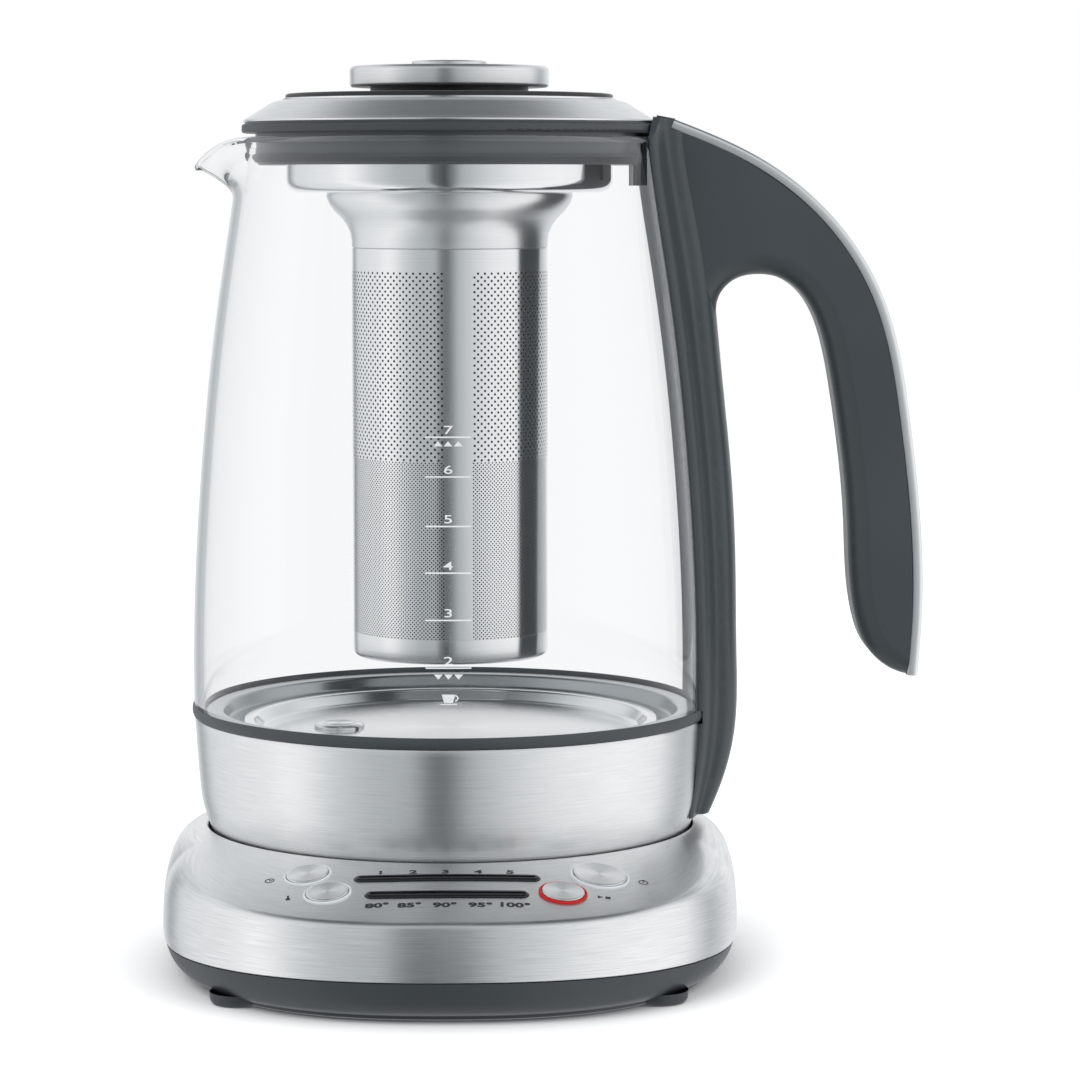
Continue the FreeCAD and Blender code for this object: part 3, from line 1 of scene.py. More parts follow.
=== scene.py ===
import bpy
import json
import math
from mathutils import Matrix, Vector


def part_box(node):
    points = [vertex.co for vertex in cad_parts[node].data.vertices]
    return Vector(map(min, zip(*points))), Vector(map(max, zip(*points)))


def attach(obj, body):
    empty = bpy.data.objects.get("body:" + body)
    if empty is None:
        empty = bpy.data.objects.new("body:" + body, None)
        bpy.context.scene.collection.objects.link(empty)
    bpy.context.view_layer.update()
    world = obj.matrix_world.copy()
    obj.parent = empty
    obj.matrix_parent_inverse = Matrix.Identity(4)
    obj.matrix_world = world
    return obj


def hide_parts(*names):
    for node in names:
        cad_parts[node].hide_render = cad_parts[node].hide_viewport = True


# An automatic tea maker on its power base. Shapes are worked out in millimetres about the jug's own
# axis, with the front at -Y and the handle at +X, and are moved into the frame when they are made.

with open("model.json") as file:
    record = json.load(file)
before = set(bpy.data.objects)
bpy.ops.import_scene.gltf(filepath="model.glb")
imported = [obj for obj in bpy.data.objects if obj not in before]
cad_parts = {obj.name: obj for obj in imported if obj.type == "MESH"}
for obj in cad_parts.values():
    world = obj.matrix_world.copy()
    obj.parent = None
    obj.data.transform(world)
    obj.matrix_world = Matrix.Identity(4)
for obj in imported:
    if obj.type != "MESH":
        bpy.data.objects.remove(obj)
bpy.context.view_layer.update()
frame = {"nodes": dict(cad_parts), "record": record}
skirt_low, skirt_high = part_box("steel_skirt")
AXIS = Vector(((skirt_low.x + skirt_high.x) / 2, (skirt_low.y + skirt_high.y) / 2, 0))
MM = 0.001


def at_frame(x, y, z):
    """A place in millimetres about the jug's axis, in the frame's metres."""
    return Vector((x, y, z)) * MM + AXIS


# ---- camera ----
EYE = (9.5, -1168.5, 244.5)      # millimetres about the jug's axis
PITCH = 5.577                    # degrees down
YAW = 0.929                      # degrees to the right
LENS = 123.24

camera = bpy.data.objects.new("camera", bpy.data.cameras.new("camera"))
camera.data.sensor_width = 36
camera.data.lens = LENS
camera.data.clip_start = 0.05
camera.data.clip_end = 20
camera.location = at_frame(*EYE)
camera.rotation_euler = (math.radians(90 - PITCH), 0, math.radians(-YAW))
bpy.context.collection.objects.link(camera)
bpy.context.scene.camera = camera
bpy.context.scene.view_settings.view_transform = "Standard"


# ---- node helpers ----
class Nodes:
    """A short way to write a node tree."""

    def __init__(self, tree):
        self.tree = tree
        tree.nodes.clear()

    def add(self, kind, **values):
        node = self.tree.nodes.new("ShaderNode" + kind)
        for key, value in values.items():
            setattr(node, key, value)
        return node

    def link(self, source, target):
        self.tree.links.new(source, target)

    def math(self, operation, *inputs):
        node = self.add("Math", operation=operation)
        for socket, value in zip(node.inputs, inputs):
            if isinstance(value, (int, float)):
                socket.default_value = value
            else:
                self.link(value, socket)
        return node.outputs[0]

    def noise(self, vector, scale, detail=4.0, roughness=0.55):
        node = self.add("TexNoise")
        node.inputs["Scale"].default_value = scale
        node.inputs["Detail"].default_value = detail
        node.inputs["Roughness"].default_value = roughness
        self.link(vector, node.inputs["Vector"])
        return node.outputs["Fac"]

    def stretched(self, x, y, z):
        """Object coordinates scaled by axis, so that noise runs in streaks."""
        source = self.add("TexCoord").outputs["Object"]
        scale = self.add("VectorMath", operation="MULTIPLY")
        self.link(source, scale.inputs[0])
        scale.inputs[1].default_value = (x, y, z)
        return scale.outputs[0]

    def ramp(self, factor, stops):
        node = self.add("ValToRGB")
        elements = node.color_ramp.elements
        while len(elements) < len(stops):
            elements.new(0.5)
        for element, (place, colour) in zip(elements, stops):
            element.position = place
            element.color = tuple(colour) + (1,) if len(colour) == 3 else colour
        self.link(factor, node.inputs["Fac"])
        return node.outputs["Color"]

    def span(self, value, low, high):
        node = self.add("MapRange")
        node.inputs["To Min"].default_value = low
        node.inputs["To Max"].default_value = high
        self.link(value, node.inputs["Value"])
        return node.outputs[0]

    def bump(self, height, strength, distance):
        node = self.add("Bump")
        node.inputs["Strength"].default_value = strength
        node.inputs["Distance"].default_value = distance
        self.link(height, node.inputs["Height"])
        return node.outputs["Normal"]


def grey(value):
    return (value, value, value)


def cool(value):
    """A grey that turns slightly blue as it darkens."""
    return (value * (0.9 + 0.1 * value), value, value * (1.06 - 0.06 * value))


# ---- world and stage ----
# brightness of the studio's ceiling by height: the part straight above is dark
CEILING = [(0.0, 0.80), (0.55, 0.74), (0.70, 0.58), (0.79, 0.26), (0.86, 0.09)]
# brightness of the studio round the object: 0.5 is towards the camera, below 0.5 is to its left
CARDS = [(0.00, 0.92), (0.045, 0.85), (0.075, 0.30), (0.115, 0.74), (0.20, 0.84), (0.245, 0.88), (0.28, 1.0),
         (0.31, 0.93), (0.35, 0.68), (0.40, 0.50), (0.455, 0.46), (0.470, 0.16), (0.492, 0.07), (0.508, 0.22),
         (0.525, 0.46), (0.58, 0.70), (0.64, 0.90), (0.73, 1.0), (0.80, 0.93), (0.86, 0.45), (0.93, 0.80),
         (1.00, 0.92)]
CEILING_BLEND = 1.35             # how soon the ceiling takes over from the cards, going up
LAMP_AIM_Z = 0.12                # the lamps point at the middle of the jug
FLOOR_REACH = 3.0
FLOOR_DROP = 0.0001
FLOOR_COLOUR = 0.92
FLOOR_GLOW = 0.64                # the floor's own light, away from the object
SHADOW_REACH = 0.045             # how far from the object that light fades
SHADOW_POWER = 1.6


def studio_world():
    """White behind everything, plain soft light, and darker cards for the steel to mirror."""
    world = bpy.data.worlds.new("studio")
    bpy.context.scene.world = world
    world.use_nodes = True
    n = Nodes(world.node_tree)
    out = n.add("OutputWorld")
    direction = n.add("TexCoord").outputs["Generated"]
    split = n.add("SeparateXYZ")
    n.link(direction, split.inputs[0])
    x, y, z = split.outputs
    turn = n.math("ARCTAN2", x, n.math("MULTIPLY", y, -1.0))
    around = n.math("ADD", n.math("DIVIDE", turn, 2 * math.pi), 0.5)
    cards = n.ramp(around, [(place, cool(value)) for place, value in CARDS])
    height = n.math("MAXIMUM", n.math("MINIMUM", n.math("MULTIPLY", z, CEILING_BLEND), 1.0), 0.0)
    overhead = n.ramp(z, [(place, cool(value)) for place, value in CEILING])
    ceiling = n.add("MixRGB")
    n.link(overhead, ceiling.inputs["Color2"])
    n.link(height, ceiling.inputs["Fac"])
    n.link(cards, ceiling.inputs["Color1"])
    path = n.add("LightPath")
    clear = n.math("MAXIMUM", path.outputs["Is Camera Ray"], path.outputs["Is Transmission Ray"])
    shown = n.add("MixRGB")
    shown.inputs["Color2"].default_value = grey(1.0) + (1,)
    n.link(clear, shown.inputs["Fac"])
    n.link(ceiling.outputs[0], shown.inputs["Color1"])
    background = n.add("Background")
    n.link(shown.outputs[0], background.inputs["Color"])
    n.link(background.outputs[0], out.inputs["Surface"])


def area_lamp(name, place, size, power):
    """A soft lamp that the glass and the steel don't mirror."""
    lamp = bpy.data.lights.new(name, "AREA")
    lamp.shape = "RECTANGLE"
    lamp.size, lamp.size_y = size
    lamp.energy = power
    lamp_object = bpy.data.objects.new(name, lamp)
    lamp_object.location = place
    aim = Vector((AXIS.x, AXIS.y, LAMP_AIM_Z)) - Vector(place)
    lamp_object.rotation_euler = aim.to_track_quat("-Z", "Y").to_euler()
    bpy.context.collection.objects.link(lamp_object)
    lamp_object.visible_glossy = False
    lamp_object.visible_transmission = False


def floor():
    """A white floor that keeps the object's soft shadow from the lamps, and a painted shadow where its glow fades
    near the object.
    """
    mesh = bpy.data.meshes.new("floor")
    corners = [(x * FLOOR_REACH, y * FLOOR_REACH, 0) for x, y in ((-1, -1), (1, -1), (1, 1), (-1, 1))]
    mesh.from_pydata(corners, [], [(0, 1, 2, 3)])
    ground = bpy.data.objects.new("floor", mesh)
    bpy.context.collection.objects.link(ground)
    ground.location.z = -FLOOR_DROP
    material = bpy.data.materials.new("floor")
    material.use_nodes = True
    n = Nodes(material.node_tree)
    out = n.add("OutputMaterial")
    lit = n.add("BsdfDiffuse")
    lit.inputs["Color"].default_value = grey(FLOOR_COLOUR) + (1,)
    glow = n.add("Emission")
    # the glow fades by occlusion near the object: a painted contact shadow
    near = n.add("AmbientOcclusion")
    near.inputs["Distance"].default_value = SHADOW_REACH
    open_share = n.math("POWER", near.outputs["AO"], SHADOW_POWER)
    n.link(n.span(open_share, 0.0, FLOOR_GLOW), glow.inputs["Strength"])
    both = n.add("AddShader")
    n.link(lit.outputs[0], both.inputs[0])
    n.link(glow.outputs[0], both.inputs[1])
    clear = n.add("Emission")
    path = n.add("LightPath")
    shown = n.add("MixShader")
    n.link(path.outputs["Is Transmission Ray"], shown.inputs[0])
    n.link(both.outputs[0], shown.inputs[1])
    n.link(clear.outputs[0], shown.inputs[2])
    n.link(shown.outputs[0], out.inputs["Surface"])
    ground.data.materials.append(material)
    ground.visible_glossy = False
    ground.visible_diffuse = False
    ground.visible_shadow = False


studio_world()
area_lamp("key", place=(-0.9, -1.1, 1.3), size=(1.2, 1.2), power=14)
area_lamp("fill", place=(1.1, -0.8, 0.9), size=(1.2, 1.2), power=8)
floor()


# ---- materials ----
def material(name):
    made = bpy.data.materials.new(name)
    made.use_nodes = True
    return made, Nodes(made.node_tree)


def principled(n, colour=None, metallic=0.0, roughness=0.5):
    out = n.add("OutputMaterial")
    shader = n.add("BsdfPrincipled")
    n.link(shader.outputs[0], out.inputs["Surface"])
    if colour is not None:
        shader.inputs["Base Color"].default_value = tuple(colour) + (1,)
    shader.inputs["Metallic"].default_value = metallic
    shader.inputs["Roughness"].default_value = roughness
    return shader


def grain_steel(name, vector, tone, roughness, depth, stretch, contrast=0.045):
    """Steel with fine grain; the highlight spreads across the grain."""
    made, n = material(name)
    shader = principled(n, metallic=1.0)
    fine = n.noise(vector(n), 1.0, 3.0, 0.6)
    colour = n.ramp(fine, [(0.3, cool(tone * (0.985 - contrast))), (0.7, cool(tone * (0.985 + contrast)))])
    n.link(colour, shader.inputs["Base Color"])
    n.link(n.span(fine, roughness * 0.85, roughness * 1.15), shader.inputs["Roughness"])
    if depth:
        n.link(n.bump(fine, depth, 0.00002), shader.inputs["Normal"])
    if stretch:
        shader.inputs["Anisotropic"].default_value = stretch
        shader.inputs["Anisotropic Rotation"].default_value = 0.25
        tangent = n.add("Tangent", direction_type="RADIAL", axis="Z")
        n.link(tangent.outputs[0], shader.inputs["Tangent"])
    return made


def turned_steel(name, tone=0.92, roughness=0.3, depth=0.15, stretch=0.85, scale=5200, cells=3.0, contrast=0.045):
    """Steel whose grain follows each ring of a turned piece."""
    def vector(n):
        run = n.add("Attribute", attribute_name="run")
        turn = n.add("Attribute", attribute_name="turn")
        joint = n.add("CombineXYZ")
        n.link(n.math("MULTIPLY", run.outputs["Fac"], scale), joint.inputs[0])
        n.link(n.math("MULTIPLY", turn.outputs["Fac"], cells), joint.inputs[1])
        return joint.outputs[0]
    return grain_steel(name, vector, tone, roughness, depth, stretch, contrast)


def brushed_steel(name, streaks, tone=0.88, roughness=0.28, depth=0.15):
    """Steel with straight grain; streaks scales the grain by axis."""
    return grain_steel(name, lambda n: n.stretched(*streaks), tone, roughness, depth, 0)


def moulded(name, colour, roughness=0.45, grain=900.0, depth=0.12):
    """Moulded plastic or rubber with a fine even grain."""
    made, n = material(name)
    shader = principled(n)
    fine = n.noise(n.stretched(grain, grain, grain), 1.0, 2.0)
    broad = n.noise(n.stretched(18, 18, 18), 1.0, 2.0)
    dark = [c * 0.93 for c in colour]
    light = [min(1.0, c * 1.07) for c in colour]
    n.link(n.ramp(broad, [(0.3, dark), (0.7, light)]), shader.inputs["Base Color"])
    n.link(n.span(fine, roughness * 0.85, roughness * 1.15), shader.inputs["Roughness"])
    n.link(n.bump(fine, depth, 0.00003), shader.inputs["Normal"])
    return made


def clear_glass(name, edge_shade, gloss=0.5, ior=1.25):
    """Clear glass whose colour darkens as the surface turns away, painted shade for the dark lines at its edges: 0 is
    face on, 1 is edge on.
    """
    made, n = material(name)
    shader = principled(n, roughness=0.0)
    shader.inputs["IOR"].default_value = ior
    shader.inputs["Transmission Weight"].default_value = 1.0
    shader.inputs["Specular IOR Level"].default_value = gloss
    weight = n.add("LayerWeight")
    weight.inputs["Blend"].default_value = 0.5
    facing = weight.outputs["Facing"]
    smear = n.noise(n.stretched(9, 9, 3), 1.0, 2.0)
    edge = n.math("ADD", facing, n.math("MULTIPLY", n.math("SUBTRACT", smear, 0.5), 0.02))
    # the colour darkens towards the edges, with a little noise: painted edge shade
    n.link(n.ramp(edge, edge_shade), shader.inputs["Base Color"])
    return made


STEEL = brushed_steel("brushed_steel", (4, 4, 2600))
BASE_STEEL = turned_steel("base_steel", scale=3800, cells=22, contrast=0.12)
SKIRT_STEEL = turned_steel("skirt_steel", scale=3800, cells=16, contrast=0.09)
FLOOR_STEEL = turned_steel("floor_steel", roughness=0.16, depth=0.05, stretch=0.6)
LID_STEEL = turned_steel("lid_steel", scale=3800, cells=12, contrast=0.09)
TUBE_STEEL = turned_steel("tube_steel", roughness=0.24, depth=0.03, stretch=0.8)
BAND_STEEL = turned_steel("band_steel", roughness=0.2, depth=0.03, stretch=0.8)
CUP_STEEL = turned_steel("cup_steel", roughness=0.12, depth=0.02, stretch=0.8)
FUNNEL_STEEL = turned_steel("funnel_steel", roughness=0.34, depth=0.04, stretch=0.5)
KNOB_STEEL = turned_steel("knob_steel", scale=3800, cells=8, contrast=0.08)
STRIP_STEEL = turned_steel("strip_steel", stretch=0)
SPUN = turned_steel("spun_steel", tone=0.93, roughness=0.25, stretch=0.98)
# darker copy of the turned steel for the gutter round the heater floor: painted shade
GUTTER_SHADE_STEEL = turned_steel("gutter_shade_steel", tone=0.42, roughness=0.2, depth=0.05, stretch=0.6)
SCREW = brushed_steel("screw_steel", (300, 300, 300), tone=0.6, roughness=0.35)
ALUMINIUM = brushed_steel("aluminium", (400, 400, 400), tone=0.7, roughness=0.45)
BRASS = moulded("brass", (0.75, 0.56, 0.24), 0.3)
BRASS.node_tree.nodes["Principled BSDF"].inputs["Metallic"].default_value = 1.0
DARK = moulded("dark_plastic", (0.050, 0.060, 0.066), 0.36)
GREY = moulded("grey_plastic", (0.085, 0.094, 0.10), 0.3)
BLACK = moulded("black_plastic", (0.018, 0.019, 0.021), 0.35)
INNER = moulded("inner_plastic", (0.30, 0.31, 0.32), 0.5)
RUBBER = moulded("rubber", (0.036, 0.042, 0.046), 0.5)
SILICONE = moulded("silicone", (0.048, 0.054, 0.058), 0.42)
CLEAR_SILICONE = moulded("clear_silicone", (0.55, 0.57, 0.58), 0.4)
DISPLAY = moulded("display_black", (0.008, 0.009, 0.010), 0.12, depth=0.02)
PALE = moulded("pale_ring", (0.76, 0.79, 0.81), 0.35)
RED = moulded("red_ring", (0.58, 0.012, 0.012), 0.5)
GREEN = moulded("circuit_green", (0.02, 0.12, 0.06), 0.4)
LAMP = moulded("lamp_white", (0.8, 0.8, 0.78), 0.3)
# The glass ramps darken its colour towards the edges: painted shade for the dark lines at its outline and along the
# rim's bead; weakest inside and by the handle's spine.
GLASS_FACE = (0.975, 0.979, 0.982)
GLASS = clear_glass("clear_glass", [(0.0, GLASS_FACE), (0.64, (0.965, 0.970, 0.974)), (0.70, (0.90, 0.915, 0.925)),
                                    (0.735, (0.52, 0.55, 0.57)), (0.90, (0.48, 0.51, 0.53)),
                                    (1.0, (0.28, 0.31, 0.33))])
GLASS_INSIDE = clear_glass("clear_glass_inside", [(0.0, GLASS_FACE), (1.0, (0.95, 0.956, 0.96))])
GLASS_BEAD = clear_glass("clear_glass_bead", [(0.0, GLASS_FACE), (0.45, (0.94, 0.947, 0.952)),
                                              (0.68, (0.66, 0.68, 0.70)), (1.0, (0.22, 0.25, 0.27))], ior=1.5)
GLASS_BY_SPINE = clear_glass("clear_glass_by_spine", [(0.0, GLASS_FACE), (1.0, (0.90, 0.91, 0.92))], gloss=0.12)
TRAY = moulded("tray_plastic", (0.044, 0.052, 0.057), 0.40)
# dark colour for a sheet just inside the perforated tube: painted shade in the holes
HOLE_DARK = moulded("hole_shadow", (0.035, 0.038, 0.040), 0.6)
PRINT = moulded("panel_print", (0.02, 0.022, 0.025), 0.5)
WHITE_PRINT = moulded("level_print", (0.85, 0.86, 0.86), 0.5)

# the finish for each material slot of the record, for the solids that are shown as they are
FINISHES = {
    "brushed_steel": STEEL, "spun_steel": SPUN, "screw_steel": SCREW, "aluminium": ALUMINIUM, "brass": BRASS,
    "dark_plastic": DARK, "grey_plastic": GREY, "black_plastic": BLACK, "inner_plastic": INNER,
    "rubber": RUBBER, "silicone": SILICONE, "clear_silicone": CLEAR_SILICONE, "display_black": DISPLAY,
    "pale_ring": PALE, "red_ring": RED, "circuit_green": GREEN, "lamp_white": LAMP, "clear_glass": GLASS,
}
for part in frame["record"]["subparts"]:
    node = frame["nodes"][part["node"]]
    for i in range(len(node.material_slots)):
        node.material_slots[i].material = FINISHES[part["material_slot"]]

# the clip inside the rim is dark in the photo
for slot in frame["nodes"]["handle_clip"].material_slots:
    slot.material = BLACK


# ---- mesh helpers ----
def mesh_piece(name, points, faces, body, finish, stands_for=(), sharp=32, grain=None):
    """A piece from points in millimetres about the jug's axis, riding on a body."""
    mesh = bpy.data.meshes.new(name)
    mesh.from_pydata([at_frame(*p) for p in points], [], faces)
    if grain:
        for label, values in zip(("run", "turn"), grain):
            mesh.attributes.new(label, "FLOAT", "POINT").data.foreach_set("value", values)
    mesh.materials.append(finish)
    mesh.shade_smooth()
    mesh.set_sharp_from_angle(angle=math.radians(sharp))
    piece = bpy.data.objects.new(name, mesh)
    bpy.context.collection.objects.link(piece)
    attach(piece, body)
    if stands_for:
        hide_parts(*stands_for)
    return piece


def soft(corners, steps=4):
    """A line through corners (r, z, radius), each rounded by its own radius."""
    line = []
    for i, corner in enumerate(corners):
        radius = corner[2] if len(corner) > 2 else 0
        here = Vector(corner[:2])
        if radius == 0 or i in (0, len(corners) - 1):
            line.append(tuple(here))
            continue
        before = Vector(corners[i - 1][:2]) - here
        after = Vector(corners[i + 1][:2]) - here
        reach = min(radius, before.length * 0.49, after.length * 0.49)
        start = here + before.normalized() * reach
        end = here + after.normalized() * reach
        for k in range(steps + 1):
            t = k / steps
            line.append(tuple(start * (1 - t) ** 2 + here * (2 * t * (1 - t)) + end * t ** 2))
    return line


def grid_faces(rows, columns, around=True, closed=False):
    """Quads between rows of points; around joins each row's ends, closed joins the last row to the first."""
    faces = []
    last = columns if around else columns - 1
    for i in range(rows if closed else rows - 1):
        for k in range(last):
            a = i * columns + k
            b = i * columns + (k + 1) % columns
            c = ((i + 1) % rows) * columns + (k + 1) % columns
            d = ((i + 1) % rows) * columns + k
            faces.append((a, b, c, d))
    return faces


def grain_of(line, columns):
    """How far along its outline and round the turn each point of a turned piece lies, for its grain."""
    run = [0.0]
    for before, after in zip(line, line[1:]):
        run.append(run[-1] + math.hypot(after[0] - before[0], after[1] - before[1]) * MM)
    runs = [value for value in run for _ in range(columns)]
    turns = [abs(2 * k / columns - 1) for _ in run for k in range(columns)]
    return runs, turns


def lathe(name, profile, body, finish, stands_for=(), segments=192, closed=False, place=None, sharp=32):
    """A profile of radius and height, turned about the axis; place moves each point."""
    points = []
    for r, z in profile:
        for k in range(segments):
            angle = 2 * math.pi * k / segments
            points.append((max(r, 0.001) * math.sin(angle), max(r, 0.001) * math.cos(angle), z))
    if place:
        points = [place(*p) for p in points]
    faces = grid_faces(len(profile), segments, closed=closed)
    return mesh_piece(name, points, faces, body, finish, stands_for, sharp, grain_of(profile, segments))


def spline(points):
    """A natural cubic spline through (t, value) points, as a function of t."""
    n = len(points) - 1
    t = [p[0] for p in points]
    v = [p[1] for p in points]
    h = [t[i + 1] - t[i] for i in range(n)]
    lower, middle, upper, right = [0.0], [1.0], [0.0], [0.0]
    for i in range(1, n):
        lower.append(h[i - 1])
        middle.append(2 * (h[i - 1] + h[i]))
        upper.append(h[i])
        right.append(6 * ((v[i + 1] - v[i]) / h[i] - (v[i] - v[i - 1]) / h[i - 1]))
    lower.append(0.0)
    middle.append(1.0)
    right.append(0.0)
    for i in range(1, n + 1):
        w = lower[i] / middle[i - 1]
        middle[i] -= w * (upper[i - 1] if i - 1 < len(upper) else 0)
        right[i] -= w * right[i - 1]
    second = [0.0] * (n + 1)
    second[n] = right[n] / middle[n]
    for i in range(n - 1, -1, -1):
        second[i] = (right[i] - upper[i] * second[i + 1]) / middle[i]

    def value(x):
        i = 0
        while i < n - 1 and x > t[i + 1]:
            i += 1
        a = t[i + 1] - x
        b = x - t[i]
        bent = second[i] * (a ** 3 / h[i] - h[i] * a) / 6 + second[i + 1] * (b ** 3 / h[i] - h[i] * b) / 6
        return bent + v[i] * a / h[i] + v[i + 1] * b / h[i]
    return value


def between(low, high, count):
    """Evenly spaced values, both ends included."""
    return [low + (high - low) * i / (count - 1) for i in range(count)]


def smooth_step(value, low, high):
    """0 below low, 1 above high, with a soft start and end."""
    t = max(0.0, min(1.0, (value - low) / (high - low)))
    return t * t * (3 - 2 * t)


# ---- power base ----
HALF_WIDTH = 89.8
HALF_DEPTH = 102.3
FORWARD = 16.5             # how far the base's middle stands in front of the jug's axis
SQUARENESS = 2.4           # the outline's exponent: 2 is an ellipse
WIDEST_Z = 15.0
BOTTOM_Z = 2.5
TRAY_LOW_Z = 0.6
BELLY = 7.4                # how far the skin is drawn in at the bottom
BELLY_FULL = 0.96          # share of the quarter round that is used for it
LEAN = 3.2                 # and at the top
WELL_RADIUS = 77.8
LIP_RADIUS = 77.2
RIM_Z = 41.0
SLOPE = 0.26
SEAM_BACK_Z = 7.2
SEAM_RISE = 6.2
SEAM_LEVEL_Y = 40.0        # the seam is level behind this line
CREASE_FRONT = 1.6         # size of the rounding between side and deck, in front and at the sides
CREASE_SIDE = 13.0
CREASE_GUESS_Z = 33.0      # a first guess; where side and deck meet is found by repeating
BASE_SEGMENTS = 256


def base_draw(z):
    """How far the base's skin is drawn in from its widest outline at a height."""
    if z < WIDEST_Z:
        t = (WIDEST_Z - z) / (WIDEST_Z - BOTTOM_Z)
        return BELLY * (1 - math.sqrt(max(0.0, 1 - t * t * BELLY_FULL)))
    t = (z - WIDEST_Z) / (RIM_Z - WIDEST_Z)
    return LEAN * t * t


def base_side(angle, z):
    """Distance from the jug's axis to the base's skin, in one direction at one height."""
    a = HALF_WIDTH - base_draw(z)
    b = HALF_DEPTH - base_draw(z)
    c, s = math.cos(angle), math.sin(angle)
    low, high = 30.0, 200.0
    for _ in range(30):
        r = (low + high) / 2
        outside = abs(r * c / a) ** SQUARENESS + abs((r * s + FORWARD) / b) ** SQUARENESS > 1
        low, high = (low, r) if outside else (r, high)
    return low


def deck_z(r):
    """Height of the cone-shaped deck at a distance from the jug's axis."""
    return RIM_Z - SLOPE * (r - WELL_RADIUS)


def seam_z(angle):
    """Height of the seam between steel and plastic: level behind, rising to the front."""
    y = base_side(angle, WIDEST_Z) * math.sin(angle)
    t = max(0.0, (SEAM_LEVEL_Y - y) / (SEAM_LEVEL_Y + HALF_DEPTH + FORWARD))
    return SEAM_BACK_Z + SEAM_RISE * t


def top_cover():
    """The steel pressing: side, rounded crease, cone-shaped deck and rolled lip into the well."""
    columns = []
    for k in range(BASE_SEGMENTS):
        angle = 2 * math.pi * k / BASE_SEGMENTS
        crease_z = CREASE_GUESS_Z
        for _ in range(8):
            crease_z = deck_z(base_side(angle, crease_z))
        crease = Vector((base_side(angle, crease_z), crease_z))
        front = smooth_step(-math.sin(angle), 0.25, 0.9)
        reach = CREASE_SIDE + (CREASE_FRONT - CREASE_SIDE) * front
        reach = min(reach, (crease.x - WELL_RADIUS - 1.5) * 0.8)
        seam = seam_z(angle)
        line = [(base_side(angle, seam) - 1.4, seam + 0.15), (base_side(angle, seam) - 0.25, seam)]
        low = Vector((base_side(angle, crease_z - reach), crease_z - reach))
        for z in between(seam + 0.25, crease_z - reach, 14)[:-1]:
            line.append((base_side(angle, z), z))
        inner = crease + Vector((-1, SLOPE)).normalized() * reach
        for i in range(13):
            t = i / 12
            line.append(tuple(low * (1 - t) ** 2 + crease * (2 * t * (1 - t)) + inner * t ** 2))
        edge = LIP_RADIUS + 1.6
        for r in between(inner.x, edge, 9)[1:]:
            line.append((r, deck_z(r)))
        line += [(LIP_RADIUS + 0.7, deck_z(edge) + 0.14), (LIP_RADIUS + 0.15, deck_z(edge) - 0.35),
                 (LIP_RADIUS, deck_z(edge) - 1.0), (WELL_RADIUS, RIM_Z - 3)]
        columns.append([(r * math.cos(angle), r * math.sin(angle), z) for r, z in line])
    rows = len(columns[0])
    points = [columns[k][i] for i in range(rows) for k in range(BASE_SEGMENTS)]
    front = [(-p[1], p[2]) for p in columns[3 * BASE_SEGMENTS // 4]]
    mesh_piece("base_shell", points, grid_faces(rows, BASE_SEGMENTS), "power_base", BASE_STEEL, ("base_top_cover",),
               grain=grain_of(front, BASE_SEGMENTS))


def bottom_cover():
    """The dark tray under the steel, drawn in towards the table."""
    columns = []
    for k in range(BASE_SEGMENTS):
        angle = 2 * math.pi * k / BASE_SEGMENTS
        seam = seam_z(angle)
        line = [(base_side(angle, seam) - 1.6, seam + 0.6), (base_side(angle, seam) - 1.0, seam - 0.1)]
        for z in between(seam - 0.35, TRAY_LOW_Z + 0.5, 16):
            line.append((base_side(angle, z) - 0.15, z))
        foot = line[-1][0]
        line += [(foot - 0.8, TRAY_LOW_Z + 0.1), (foot - 2.5, TRAY_LOW_Z), (foot * 0.6, TRAY_LOW_Z)]
        line.append((0.01, TRAY_LOW_Z))
        columns.append([(r * math.cos(angle), r * math.sin(angle), z) for r, z in line])
    rows = len(columns[0])
    points = [columns[k][i] for i in range(rows) for k in range(BASE_SEGMENTS)]
    faces = [tuple(reversed(f)) for f in grid_faces(rows, BASE_SEGMENTS)]
    mesh_piece("base_tray", points, faces, "power_base", TRAY, ("base_bottom_cover",))


FEET = ((-62.5, -82.5), (62.5, -82.5), (-54.0, 50.0), (54.0, 50.0))


def feet():
    """Soft round feet, drawn in towards the table."""
    shape = soft([(0, 0.05), (8.2, 0.05, 0.6), (8.9, 1.4, 0.5), (9.0, 3.6)])
    for i, (x, y) in enumerate(FEET):
        place = lambda u, v, w, x=x, y=y: (u + x, v + y, w)
        lathe("foot_%d" % (i + 1), shape, "power_base", RUBBER, () if i else ("rubber_feet",), 64, place=place)


# ---- control panel ----
BUTTONS = {
    "brew_time": ((-42.1, -80.0), 6.4), "temperature": ((-35.7, -94.3), 6.4),
    "start_stop": ((33.7, -95.0), 6.4), "start_timer": ((45.0, -80.5), 8.1),
}
BUTTON_DISH_Z = 0.83       # the middle of a button's dished face stays above the deck when it is pressed
BUTTON_RING_Z = 0.62
RING_GAP = 0.1
RING_WIDTH = 0.75
TIME_BAR = (55.0, 3.7, -87.9)          # length, width and y of the middle
TEMPERATURE_BAR = (48.0, 4.0, -98.9)
BAR_X = -0.5
BAR_BOW = 0.0022           # the bars and their numbers bend round the well a little


def deck_place(at):
    """Moves a point made about the origin to a place on the deck, square to it."""
    x, y = at
    radius = math.hypot(x, y)
    up = Vector((SLOPE * x / radius, SLOPE * y / radius, 1)).normalized()
    side = Vector((0, 1, 0)).cross(up).normalized()
    forth = up.cross(side)
    start = Vector((x, y, deck_z(radius)))
    return lambda u, v, w: tuple(start + side * u + forth * v + up * w)


